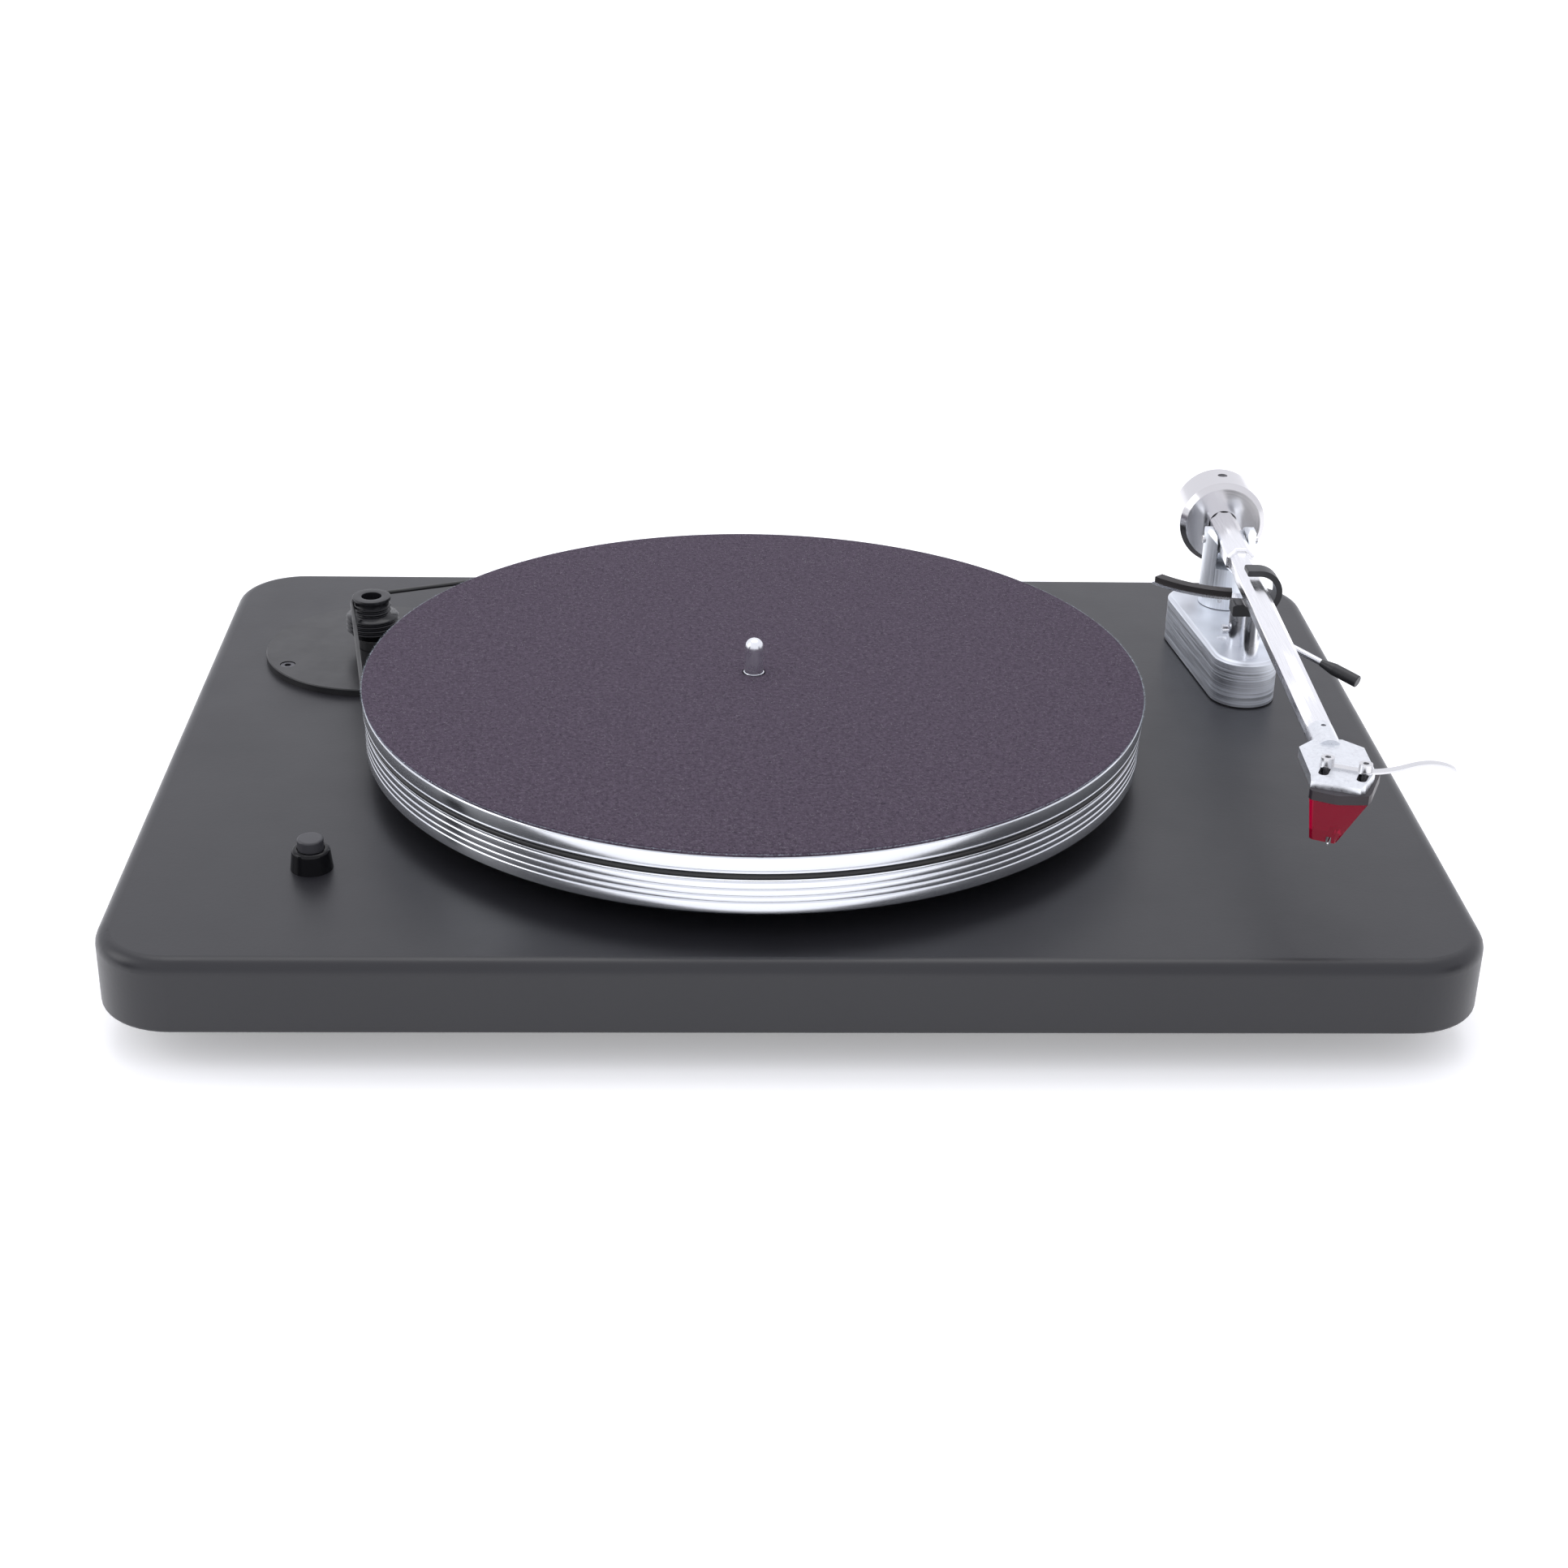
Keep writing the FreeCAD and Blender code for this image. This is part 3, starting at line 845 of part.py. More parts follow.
BLADE_W = 3.0
BLADE_POINTS = [(2.0, 0.02), (6.0, 0.3), (11.5, 1.4), (17.0, 3.0), (23.0, 3.5), (30.0, 1.4)]
CARTRIDGE_TOP_OUTLINE = [(-13.0, -7.5), (-13.0, 7.5), (-10.0, 10.2), (7.0, 10.4), (9.4, 9.9), (13.2, 1.0),
                         (13.4, -0.6), (12.8, -8.2), (11.6, -9.4), (-10.0, -9.6)]
BODY_H = 3.3
GUARD_TOP = [(-6.0, 10.1), (6.8, 10.2), (9.2, 9.7), (13.0, 1.0), (13.2, -0.6), (12.6, -8.0), (11.4, -9.2),
             (-6.0, -9.4)]
GUARD_LOW = [(4.0, 1.8), (11.4, 1.8), (12.6, 1.7), (14.3, 1.2), (14.4, 0.2), (14.1, -6.2), (13.2, -7.4),
             (4.0, -7.6)]
GUARD_LOW_Z = -17.0


def cartridge_body():
    """The cartridge's dark upper body, bolted flat under the shell, with threaded holes."""
    block = prism(CARTRIDGE_TOP_OUTLINE, -BODY_H, BODY_H)
    rear = Part.makeBox(GUARD_TOP[0][0] + 13.0 - SEAT, 13, 5.0, Vector(-13.0, -6.5, -BODY_H - 5.0))
    holes = [Part.makeCylinder(CART_SCREW_R, BODY_H, Vector(0, side * MOUNT_HOLES / 2, 0.2 - BODY_H))
             for side in (-1, 1)]
    return block.fuse(rear).cut(holes).removeSplitter()


def stylus_guard():
    """The clear coloured stylus block: a faceted wedge that narrows to the notch at the stylus."""
    top = Part.makePolygon([Vector(x, y, -BODY_H) for x, y in GUARD_TOP + GUARD_TOP[:1]])
    low = Part.makePolygon([Vector(x, y, GUARD_LOW_Z) for x, y in GUARD_LOW + GUARD_LOW[:1]])
    wedge = Part.makeLoft([top, low], True, True)
    notch = Part.makeBox(16, 1.8, 2.4, Vector(4.0, TIP_Y - 0.9, GUARD_LOW_Z - 0.4))
    return wedge.cut(notch)


def cantilever():
    """The fine cantilever with its pointed tip."""
    tip = Vector(STYLUS_REACH, TIP_Y, -STYLUS_DROP)
    rod = bar(Vector(4.0, TIP_Y, GUARD_LOW_Z + 1.2), Vector(STYLUS_REACH + 0.4, TIP_Y, -STYLUS_DROP + 0.9), 0.3)
    point = Part.makeCone(0.05, 0.3, 0.9, tip)
    return rod.fuse(point).removeSplitter()


TIP_Y = -0.9


def cartridge_pin(y, z):
    """One contact pin at the back of the cartridge."""
    return Part.makeCylinder(0.55, 4.0, Vector(-13.0, y, z), Vector(-1, 0, 0))


PIN_PLACES = [(-4.0, -6.2), (4.0, -6.2), (-4.0, -8.6), (4.0, -8.6)]


def lead_wire(y, z):
    """A fine lead from the collar's underside back to one pin: two runs and the arc between them."""
    start = Vector(-17.1, y, z)
    corner = Vector(-21.5, y * 0.55, z + 0.2)
    end = Vector(-23.5, y * 0.25, -1.6)
    run_in, run_out = (start - corner), (end - corner)
    reach = 0.45 * min(run_in.Length, run_out.Length)
    a, b = corner + run_in.normalize() * reach, corner + run_out.normalize() * reach
    half = (math.pi - run_in.getAngle(run_out)) / 2
    bisector = (run_in + run_out).normalize()
    radius = reach / math.tan(half)
    middle = corner + bisector * (radius / math.cos(half) - radius)
    path = Part.Wire([Part.LineSegment(start, a).toShape(), Part.Arc(a, middle, b).toShape(),
                      Part.LineSegment(b, end).toShape()])
    section = Part.Wire(Part.makeCircle(0.4, start, a - start))
    return path.makePipeShell([section], True, True)


def cartridge_screw(side):
    """A cap screw through the strap and the slot into the cartridge."""
    at = MOUNT + ACROSS * (side * MOUNT_HOLES / 2)
    length = PLATE_T + STRAP_T + BODY_H - 0.5
    return socket_screw(at.x, at.y, PLATE_TOP + STRAP_T, CART_SCREW_R - 0.02, length, 2.3, 2.7)


def in_shell(shape):
    """From the cartridge's frame into the deck."""
    return place(place(shape, CART_FRAME), ARM_FRAME)


save("arm_sleeve", place(arm_sleeve(), ARM_FRAME))
save("pivot_drum", place(pivot_drum(), ARM_FRAME))
save("pivot_cups", place(group([pivot_cup(1), pivot_cup(-1)]), ARM_FRAME))
save("arm_tube", place(arm_tube(), ARM_FRAME))
save("headshell", place(headshell(), ARM_FRAME))
save("headshell_screw", place(Part.makeCylinder(COLLAR_SCREW_R, COLLAR_R - TUBE_SPIGOT_R - 0.3,
                                                Vector(COLLAR_SCREW_S, 0, TUBE_SPIGOT_R), UP), ARM_FRAME))
save("finger_lift", place(finger_lift(), ARM_FRAME))
save("cartridge_screws", place(group([cartridge_screw(1), cartridge_screw(-1)]), ARM_FRAME))
save("cartridge_body", in_shell(cartridge_body()))
save("stylus_guard", in_shell(stylus_guard()))
save("cantilever", in_shell(cantilever()))
save("cartridge_pins", in_shell(group([cartridge_pin(y, z) for y, z in PIN_PLACES])))
save("lead_wires", in_shell(group([lead_wire(y, z) for y, z in PIN_PLACES])))

# ---------------------------------------------------------------- counterweight
WEIGHT_SCREW_S, WEIGHT_SCREW_R = WEIGHT_FRONT - 12.0, 2.0


def counterweight():
    """The turned weight that slides on the sleeve, bevelled at both ends."""
    front, rear = WEIGHT_FRONT, WEIGHT_FRONT - WEIGHT_L
    inner = WEIGHT_R - WEIGHT_BEVEL
    weight = lathe_along([(rear, 0), (rear, inner), (rear + WEIGHT_BEVEL, WEIGHT_R),
                          (front - WEIGHT_BEVEL, WEIGHT_R), (front, inner), (front, 0)])
    bore = Part.makeCylinder(SLEEVE_R + RUN, 60, Vector(rear - 10, 0, 0), SIDE)
    screw = Part.makeCylinder(WEIGHT_SCREW_R + SEAT, 30, Vector(WEIGHT_SCREW_S, 0, 0), UP)
    return weight.cut([bore, screw])


save("counterweight", place(counterweight(), ARM_FRAME))
save("counterweight_screw", place(Part.makeCylinder(WEIGHT_SCREW_R, WEIGHT_R - SLEEVE_R - 1.1,
                                                    Vector(WEIGHT_SCREW_S, 0, SLEEVE_R + 0.3), UP), ARM_FRAME))
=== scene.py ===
# %% [markdown]
# # A belt-driven record player
# The mechanical model comes in as a fixed frame: every node is already in place, in metres. This
# file gives it its looks. We load the frame first. The finished picture model may not grow past it.
# Where a new piece has to meet the others, its place comes from the frame's boxes and joints. The
# small steps of its profile are sizes typed here, each with a name.

# %% Load the frame
import json
import math

import bpy
import numpy as np
from mathutils import Matrix, Vector


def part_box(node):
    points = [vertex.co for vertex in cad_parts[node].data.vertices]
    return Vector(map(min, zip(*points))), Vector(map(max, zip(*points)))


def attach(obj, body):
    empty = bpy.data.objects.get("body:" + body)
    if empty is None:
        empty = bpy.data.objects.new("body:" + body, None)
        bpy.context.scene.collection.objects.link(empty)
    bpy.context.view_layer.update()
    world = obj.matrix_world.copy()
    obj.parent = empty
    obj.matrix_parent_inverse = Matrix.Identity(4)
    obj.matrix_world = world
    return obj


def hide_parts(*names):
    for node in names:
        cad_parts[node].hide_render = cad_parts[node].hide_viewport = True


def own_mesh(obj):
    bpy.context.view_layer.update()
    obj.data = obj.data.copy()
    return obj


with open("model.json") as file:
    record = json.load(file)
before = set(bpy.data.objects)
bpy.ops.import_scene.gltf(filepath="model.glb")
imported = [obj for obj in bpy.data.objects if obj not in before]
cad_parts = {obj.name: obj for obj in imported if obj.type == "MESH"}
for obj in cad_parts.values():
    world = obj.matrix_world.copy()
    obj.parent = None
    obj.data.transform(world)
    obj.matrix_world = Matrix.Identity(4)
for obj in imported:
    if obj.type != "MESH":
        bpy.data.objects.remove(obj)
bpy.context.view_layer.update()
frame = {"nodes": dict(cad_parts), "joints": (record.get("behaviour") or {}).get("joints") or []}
nodes = frame["nodes"]
MM = 0.001


def show(name, data):
    """An object that holds data, linked into the scene."""
    made = bpy.data.objects.new(name, data)
    bpy.context.collection.objects.link(made)
    return made


def mesh_from(name, points, faces):
    """A mesh from lists of points and faces."""
    made = bpy.data.meshes.new(name)
    made.from_pydata(points, [], faces)
    return made


# %% [markdown]
# ## The camera
# A record player is usually shown from just above the front edge, far enough away that the plinth's
# sides hardly converge. A 57 mm lens on a full-frame sensor does that. We state where the camera
# stands and how far it turns, tips and rolls, and build its three axes from those angles, because a
# matrix of axes can't be misread the way a list of Euler angles can.

# %% Camera
CAMERA_AT = Vector((-34.4, -883.0, 459.3)) * MM
TURN, TIP, ROLL = math.radians(2.289), math.radians(26.405), math.radians(1.286)
LENS, SENSOR = 57.46, 36.0

camera = show("camera", bpy.data.cameras.new("camera"))
camera.data.lens, camera.data.sensor_width = LENS, SENSOR
forward = Vector((math.sin(TURN) * math.cos(TIP), math.cos(TURN) * math.cos(TIP), -math.sin(TIP)))
level = Vector((math.cos(TURN), -math.sin(TURN), 0.0))
above = level.cross(forward)
right = level * math.cos(ROLL) + above * math.sin(ROLL)
up = above * math.cos(ROLL) - level * math.sin(ROLL)
axes = Matrix((right, up, -forward)).transposed()
camera.matrix_world = Matrix.Translation(CAMERA_AT) @ axes.to_4x4()
camera.data.clip_start, camera.data.clip_end = 0.05, 30.0
bpy.context.scene.camera = camera
print("camera", [round(v, 3) for v in CAMERA_AT])

# %% [markdown]
# ## Meshes from arrays
# Every new piece is a grid of points: one parameter runs along a profile, the other carries the
# profile round an axis or along a path. Working the grid out as one numpy array keeps the formula
# in plain sight and needs no loop over vertices. The quads between neighbours are the same for every
# grid, so one helper makes them all.

# %% Grid to mesh


def grid_object(name, points, body, close_u=False, close_v=False, caps=(False, False)):
    """A smooth mesh from points[u, v]: quads join (u, v), (u+1, v), (u+1, v+1), (u, v+1). close_u
    and close_v join the last row to the first. caps closes the first or last row with one face."""
    count_u, count_v = points.shape[:2]
    index = np.arange(count_u * count_v).reshape(count_u, count_v)
    u = np.arange(count_u if close_u else count_u - 1)
    v = np.arange(count_v if close_v else count_v - 1)
    uu, vv = np.meshgrid(u, v, indexing="ij")
    un, vn = (uu + 1) % count_u, (vv + 1) % count_v
    quads = np.stack([index[uu, vv], index[un, vv], index[un, vn], index[uu, vn]], -1).reshape(-1, 4)
    faces = quads.tolist()
    if caps[0]:
        faces.append(index[0, :].tolist())
    if caps[1]:
        faces.append(index[-1, ::-1].tolist())
    mesh = mesh_from(name, points.reshape(-1, 3).tolist(), faces)
    mesh.polygons.foreach_set("use_smooth", np.full(len(mesh.polygons), True))
    mesh.update()
    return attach(show(name, mesh), body)


print("grid helper ready")

# %% [markdown]
# A turned piece is the simplest grid: a half-section of (radius, height) carried round an axis. The
# corners of a real turned part are never perfectly sharp, so the profile helper swaps each corner for
# a short arc. That tiny round is what catches the light along every edge.

# %% Rounded profiles and turned pieces


LONGEST_EASE = 0.48  # of the shorter neighbouring side, so that two bends never meet


def rounded(corners, radii, steps):
    """A polyline with its inner corners eased. At each corner the curve leaves the line at distance r,
    and follows the quadratic (1-t)^2 a + 2t(1-t) c + t^2 b from a, before the corner c, to b after it."""
    c = np.asarray(corners, float)
    r = np.asarray(radii, float)
    r = np.broadcast_to(r, (len(c),)) if r.ndim == 0 else r
    before = c[1:-1] - c[:-2]
    after = c[2:] - c[1:-1]
    len_before, len_after = np.linalg.norm(before, axis=1), np.linalg.norm(after, axis=1)
    reach = np.minimum(r[1:-1], LONGEST_EASE * np.minimum(len_before, len_after))[:, None]
    a = c[1:-1] - before / len_before[:, None] * reach
    b = c[1:-1] + after / len_after[:, None] * reach
    t = np.linspace(0, 1, steps)[None, :, None]
    bends = (1 - t) ** 2 * a[:, None] + 2 * t * (1 - t) * c[1:-1, None] + t ** 2 * b[:, None]
    return np.vstack([c[:1], bends.reshape(-1, 2), c[-1:]])


def frame_of(axis):
    """Two unit vectors square to axis and to each other, found by crossing it with a fixed vector."""
    axis = np.asarray(axis, float) / np.linalg.norm(axis)
    other = np.array([0.0, 0.0, 1.0]) if abs(axis[2]) < 0.9 else np.array([1.0, 0.0, 0.0])
    side = np.cross(other, axis)
    side /= np.linalg.norm(side)
    return axis, side, np.cross(axis, side)


def turned(name, centre, profile, body, axis=(0, 0, 1), segments=192):
    """A turned piece: point = centre + axis * h + r (side cos a + other sin a) for each (r, h)."""
    axis, side, other = frame_of(axis)
    angle = np.linspace(0, 2 * np.pi, segments, endpoint=False)
    ring = side[None] * np.cos(angle)[:, None] + other[None] * np.sin(angle)[:, None]
    profile = np.asarray(profile, float)
    points = (np.asarray(centre, float) + profile[:, None, 1:2] * axis
              + profile[:, None, 0:1] * ring[None])
    return grid_object(name, points, body, close_v=True, caps=(True, True))


print("profile helpers ready")

# %% [markdown]
# ## Finishes
# Each finish is a small node tree. All of them read Object coordinates, so a pattern stays with its
# piece when the piece turns. Fine variation in roughness and a little bump do most of the work: a
# perfectly even surface is what gives a computer picture away.

# %% Material helpers


class Finish:
    """One material and short names for the nodes that most finishes share."""

    def __init__(self, name, colour, roughness, metallic=0.0, **sockets):
        self.mat = bpy.data.materials.new(name)
        self.mat.use_nodes = True
        self.tree = self.mat.node_tree
        self.shader = self.tree.nodes["Principled BSDF"]
        self.shader.inputs["Base Color"].default_value = (*colour, 1.0)
        self.shader.inputs["Roughness"].default_value = roughness
        self.shader.inputs["Metallic"].default_value = metallic
        for label, value in sockets.items():
            self.shader.inputs[label.replace("_", " ")].default_value = value
        self.place = self.tree.nodes.new("ShaderNodeTexCoord").outputs["Object"]

    def node(self, kind, inputs=None, **settings):
        """Add a node, set its settings, and fill its inputs with values or links."""
        made = self.tree.nodes.new(kind)
        for label, value in settings.items():
            setattr(made, label, value)
        for label, value in (inputs or {}).items():
            if isinstance(value, bpy.types.NodeSocket):
                self.tree.links.new(value, made.inputs[label])
            else:
                made.inputs[label].default_value = value
        return made

    def mapped(self, scale, rotation=(0, 0, 0)):
        """Object coordinates turned, then scaled."""
        moved = self.node("ShaderNodeMapping", {"Vector": self.place, "Rotation": rotation}).outputs[0]
        return self.node("ShaderNodeMapping", {"Vector": moved, "Scale": scale}).outputs[0]

    def noise(self, vector, scale, detail=2.0, roughness=0.5):
        """Noise at a place, around 0.5."""
        made = self.node("ShaderNodeTexNoise", {"Vector": vector, "Scale": scale, "Detail": detail,
                                                "Roughness": roughness})
        return made.outputs["Fac"]

    def between(self, factor, low, high, low_at=0.3, high_at=0.7):
        """A number that goes from low to high as factor goes from low_at to high_at."""
        made = self.node("ShaderNodeMapRange", {"Value": factor, "From Min": low_at, "From Max": high_at,
                                                "To Min": low, "To Max": high})
        return made.outputs[0]

    def tint(self, factor, colours, stops=(0.3, 0.7)):
        """A colour ramp between two colours."""
        made = self.node("ShaderNodeValToRGB", {"Fac": factor})
        for element, stop, colour in zip(made.color_ramp.elements, stops, colours):
            element.position, element.color = stop, (*colour, 1.0)
        return made.outputs["Color"]

    def drive(self, label, source):
        """Link a source to one of the shader's sockets."""
        self.tree.links.new(source, self.shader.inputs[label])

    def bump(self, height, distance, strength=1.0):
        """Bump from a height, in metres, chained after any bump that is already there."""
        made = self.node("ShaderNodeBump", {"Height": height, "Distance": distance, "Strength": strength})
        if self.shader.inputs["Normal"].is_linked:
            self.tree.links.new(self.shader.inputs["Normal"].links[0].from_socket, made.inputs["Normal"])
        self.tree.links.new(made.outputs[0], self.shader.inputs["Normal"])

    def radius_and_height(self, centre, rotation):
        """Distance from an axis and distance along it, as a vector (r, 0, h). The axis goes through
        centre, and it is Z after the turn."""
        moved = self.node("ShaderNodeVectorMath", {0: self.place, 1: centre}, operation="SUBTRACT")
        spun = self.node("ShaderNodeVectorRotate", {"Vector": moved.outputs[0], "Rotation": rotation},
                         rotation_type="EULER_XYZ")
        parts = self.node("ShaderNodeSeparateXYZ", {0: spun.outputs[0]})
        flat = self.node("ShaderNodeCombineXYZ", {"X": parts.outputs["X"], "Y": parts.outputs["Y"]})
        radius = self.node("ShaderNodeVectorMath", {0: flat.outputs[0]}, operation="LENGTH")
        both = {"X": radius.outputs["Value"], "Z": parts.outputs["Z"]}
        return self.node("ShaderNodeCombineXYZ", both).outputs[0]


def wear(finish, *names):
    """Give CAD nodes a finish in place of the plain one they came with."""
    for name in names:
        nodes[name].data.materials.clear()
        nodes[name].data.materials.append(finish.mat)


def dress(piece, finish, slot, *stands_for):
    """Give a new piece its finish and hide the CAD nodes that it stands for. slot is not used."""
    piece.data.materials.append(finish.mat)
    if stands_for:
        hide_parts(*stands_for)
    print(piece.name, len(piece.data.polygons), "faces")
    return piece


print("finish helpers ready")

# %% [markdown]
# Turned aluminium carries a fine spiral left by the tool. Seen as a whole it makes the light run in
# streaks from the centre outwards. Here noise is read only by radius and height, so each line is a
# perfect circle, and it drives both roughness and a shallow bump.

# %% Metals


TOOL_LINE = 0.0004  # the width of one turned line, in metres


def turned_metal(name, colour, roughness, centre, rotation=(0, 0, 0), depth=0.000004):
    """Metal with circular tool lines about an axis through centre."""
    made = Finish(name, colour, roughness, 1.0)
    where = made.radius_and_height(centre, rotation)
    lines = made.noise(where, 1 / TOOL_LINE, 3.0, 0.6)
    made.drive("Roughness", made.between(lines, roughness * 0.8, roughness * 1.3))
    made.bump(lines, depth)
    return made


def brushed_metal(name, colour, roughness, along, scale, depth, contrast=0.05):
    """Metal brushed one way: along multiplies the noise's frequency on each axis, so that it is long
    where the number is small and tight where it is large. contrast is how far the lines swing darker
    and lighter."""
    made = Finish(name, colour, roughness, 1.0)
    grain = made.noise(made.mapped(scale=along), scale, 3.0, 0.6)
    darker = tuple(c * (1 - contrast) for c in colour)
    lighter = tuple(min(c * (1 + contrast), 1.0) for c in colour)
    made.drive("Base Color", made.tint(grain, (darker, lighter)))
    made.drive("Roughness", made.between(grain, roughness * 0.75, roughness * 1.35))
    made.bump(grain, depth)
    return made


def bright_metal(name, colour, roughness):
    """Polished metal with faint cloudy patches of handling."""
    made = Finish(name, colour, roughness, 1.0)
    cloud = made.noise(made.place, 90.0, 4.0, 0.6)
    made.drive("Roughness", made.between(cloud, roughness * 0.7, roughness * 1.5))
    return made


polished_steel = bright_metal("polished_steel", (0.82, 0.83, 0.86), 0.24)
bright_screws = bright_metal("screw_steel", (0.7, 0.7, 0.71), 0.22)
nickel = bright_metal("nickel", (0.70, 0.68, 0.64), 0.25)
gold = bright_metal("gold_contacts", (0.95, 0.72, 0.32), 0.2)
bronze = bright_metal("sintered_bronze", (0.55, 0.36, 0.18), 0.45)
black_steel = bright_metal("blackened_steel", (0.12, 0.12, 0.13), 0.3)
arm_silver = brushed_metal("arm_aluminium", (0.88, 0.88, 0.90), 0.20, along=(60, 1, 60), scale=40.0,
                           depth=0.0000015)
print("metals ready")

# %% [markdown]
# The plinth is fibreboard under a sprayed black lacquer. Spray dries with a very slight "orange peel",
# which you only see where the sheen rolls over the rounded edge. Two sizes of noise in the bump give
# the peel and the finer texture under it. The colour is near black: what looks grey is the sheen.

# %% Black finishes
lacquer = Finish("plinth_lacquer", (0.013, 0.013, 0.016), 0.36, IOR=1.5)
peel = lacquer.noise(lacquer.place, 700.0, 2.0, 0.5)
fine_peel = lacquer.noise(lacquer.place, 2400.0, 2.0, 0.5)
lacquer.bump(peel, 0.00002)
lacquer.bump(fine_peel, 0.000006)
lacquer.drive("Roughness", lacquer.between(lacquer.noise(lacquer.place, 25.0, 4.0, 0.6), 0.33, 0.40))


def moulded(name, colour, roughness, grain=1500.0, depth=0.00001, shine=0.5):
    """Moulded plastic or rubber: a fine even grain and slightly uneven gloss."""
    made = Finish(name, colour, roughness, Specular_IOR_Level=shine)
    made.bump(made.noise(made.place, grain, 2.0, 0.5), depth)
    gloss = made.noise(made.place, 120.0, 3.0, 0.5)
    made.drive("Roughness", made.between(gloss, roughness * 0.85, roughness * 1.15))
    return made


foot_rubber = moulded("foot_rubber", (0.018, 0.018, 0.018), 0.7)
gasket_rubber = moulded("gasket_rubber", (0.012, 0.012, 0.012), 0.6)
black_plastic = moulded("black_plastic", (0.022, 0.022, 0.023), 0.45)
belt_rubber = moulded("belt_rubber", (0.012, 0.012, 0.012), 0.42, 2500.0, 0.000005)
lift_rubber = moulded("lift_rubber", (0.018, 0.015, 0.015), 0.55)
clip_black = moulded("clip_black", (0.020, 0.020, 0.022), 0.38)
cartridge_black = moulded("cartridge_black", (0.012, 0.006, 0.010), 0.42)
motor_black = moulded("motor_plate_black", (0.012, 0.012, 0.013), 0.33)
bezel_gloss = moulded("bezel_gloss", (0.004, 0.004, 0.005), 0.09, 500.0, 0.000001, 0.22)
button_satin = moulded("button_satin", (0.035, 0.035, 0.04), 0.35)
board_green = moulded("board", (0.02, 0.12, 0.05), 0.4)
lead_white = moulded("lead_insulation", (0.75, 0.75, 0.72), 0.4)
print("blacks ready")

# %% [markdown]
# The stylus block is clear red plastic. Light goes through it and is coloured on the way, so it is
# dark where it is thick and glows at its thin edges. Transmission does that, with the colour in the
# shader's own socket.

# %% Clear red
clear_red = Finish("stylus_red", (0.36, 0.002, 0.03), 0.12, IOR=1.30, Transmission_Weight=0.6,
                   Specular_IOR_Level=0.2)
clear_red.bump(clear_red.noise(clear_red.place, 300.0, 2.0, 0.5), 0.000004)
print("clear red ready")

# %% [markdown]
# ## Dress the nodes that keep their own mesh
# Screws, bearings and sockets are already exactly the shape they should be, so they keep their CAD
# mesh and only get a finish.

# %% CAD nodes
wear(lacquer, "plinth")
wear(foot_rubber, "feet")
wear(gasket_rubber, "arm_base_gasket")
wear(bright_screws, "foot_screws", "cover_screws", "bearing_screws", "arm_base_bolts", "bearing_housing",
     "thrust_plate", "thrust_ball", "motor_shaft", "yoke_shaft", "arm_bearing_races", "pivot_cups",
     "pivot_screws", "yoke_grub_screws", "cartridge_screws", "finger_lift", "cantilever")
wear(black_steel, "motor_plate_screws", "headshell_screw", "counterweight_screw")
wear(black_plastic, "service_cover", "dc_inlet", "switch_body")
wear(board_green, "circuit_board")
wear(gold, "phono_socket_left", "phono_socket_right", "cartridge_pins")
wear(nickel, "earth_post", "motor_rotor")
wear(bronze, "bearing_bush")
wear(polished_steel, "platter_spindle", "clip_post", "lift_cylinder", "lift_piston", "lift_platform",
     "cue_lever_rod")
wear(clip_black, "cue_lever_knob", "arm_clip")
wear(motor_black, "motor_plate", "motor_body")
wear(bezel_gloss, "switch_bezel")
wear(button_satin, "power_button")
wear(lift_rubber, "lift_pad")
wear(cartridge_black, "cartridge_body")
wear(clear_red, "stylus_guard")
wear(lead_white, "lead_wires")
FINE = 0.000001  # the depth of fine brushing, in metres
wear(brushed_metal("base_aluminium", (0.74, 0.77, 0.82), 0.46, along=(1, 1, 60), scale=22.0, depth=FINE,
                   contrast=0.22), "arm_base")
wear(brushed_metal("yoke_aluminium", (0.84, 0.87, 0.91), 0.42, along=(60, 60, 1), scale=30.0, depth=FINE,
                   contrast=0.08), "arm_yoke", "pivot_drum")
wear(brushed_metal("shell_aluminium", (0.76, 0.78, 0.81), 0.34, along=(1, 1, 1), scale=900.0, depth=FINE),
     "headshell")
print("CAD nodes dressed")

# %% [markdown]
# ## The platter
# The platter is a heavy aluminium disc. Its rim has a small bevel under the mat, a plain band, one
# turned line, the belt's groove, and four finer lines below it. A profile of (radius, height) carries
# all of that, with every corner eased so that it shows a bright thin line.

# %% Platter
GROOVE_HALF, GROOVE_DEPTH = 0.95 * MM, 2.1 * MM
GROOVE_MOUTH, MOUTH_RISE, MOUTH_LEAN = 0.9 * MM, 0.6 * MM, 0.05 * MM
UPPER_LINE, UPPER_HALF, UPPER_DEPTH = 1.45 * MM, 0.20 * MM, 0.40 * MM
LOWER_LINES, LOWER_HALF = [depth * MM for depth in (1.0, 3.8, 6.4, 8.7)], 0.35 * MM
TOP_BEVEL, LOW_BEVEL, LIP_STEP = 0.6 * MM, 0.8 * MM, 0.5 * MM
HUB_R, WELL_R, BORE_R = 48.0 * MM, 18.1 * MM, 3.95 * MM
WELL_STEP, WELL_DEPTH, BORE_FROM = 0.2 * MM, 5.9 * MM, 7.5 * MM
RIM_EASE = 0.12 * MM


def nick(radius, height, half, depth):
    """Three corners, from the top down, of a V-shaped line cut into a rim of this radius."""
    return [(radius, height + half), (radius - depth, height), (radius, height - half)]


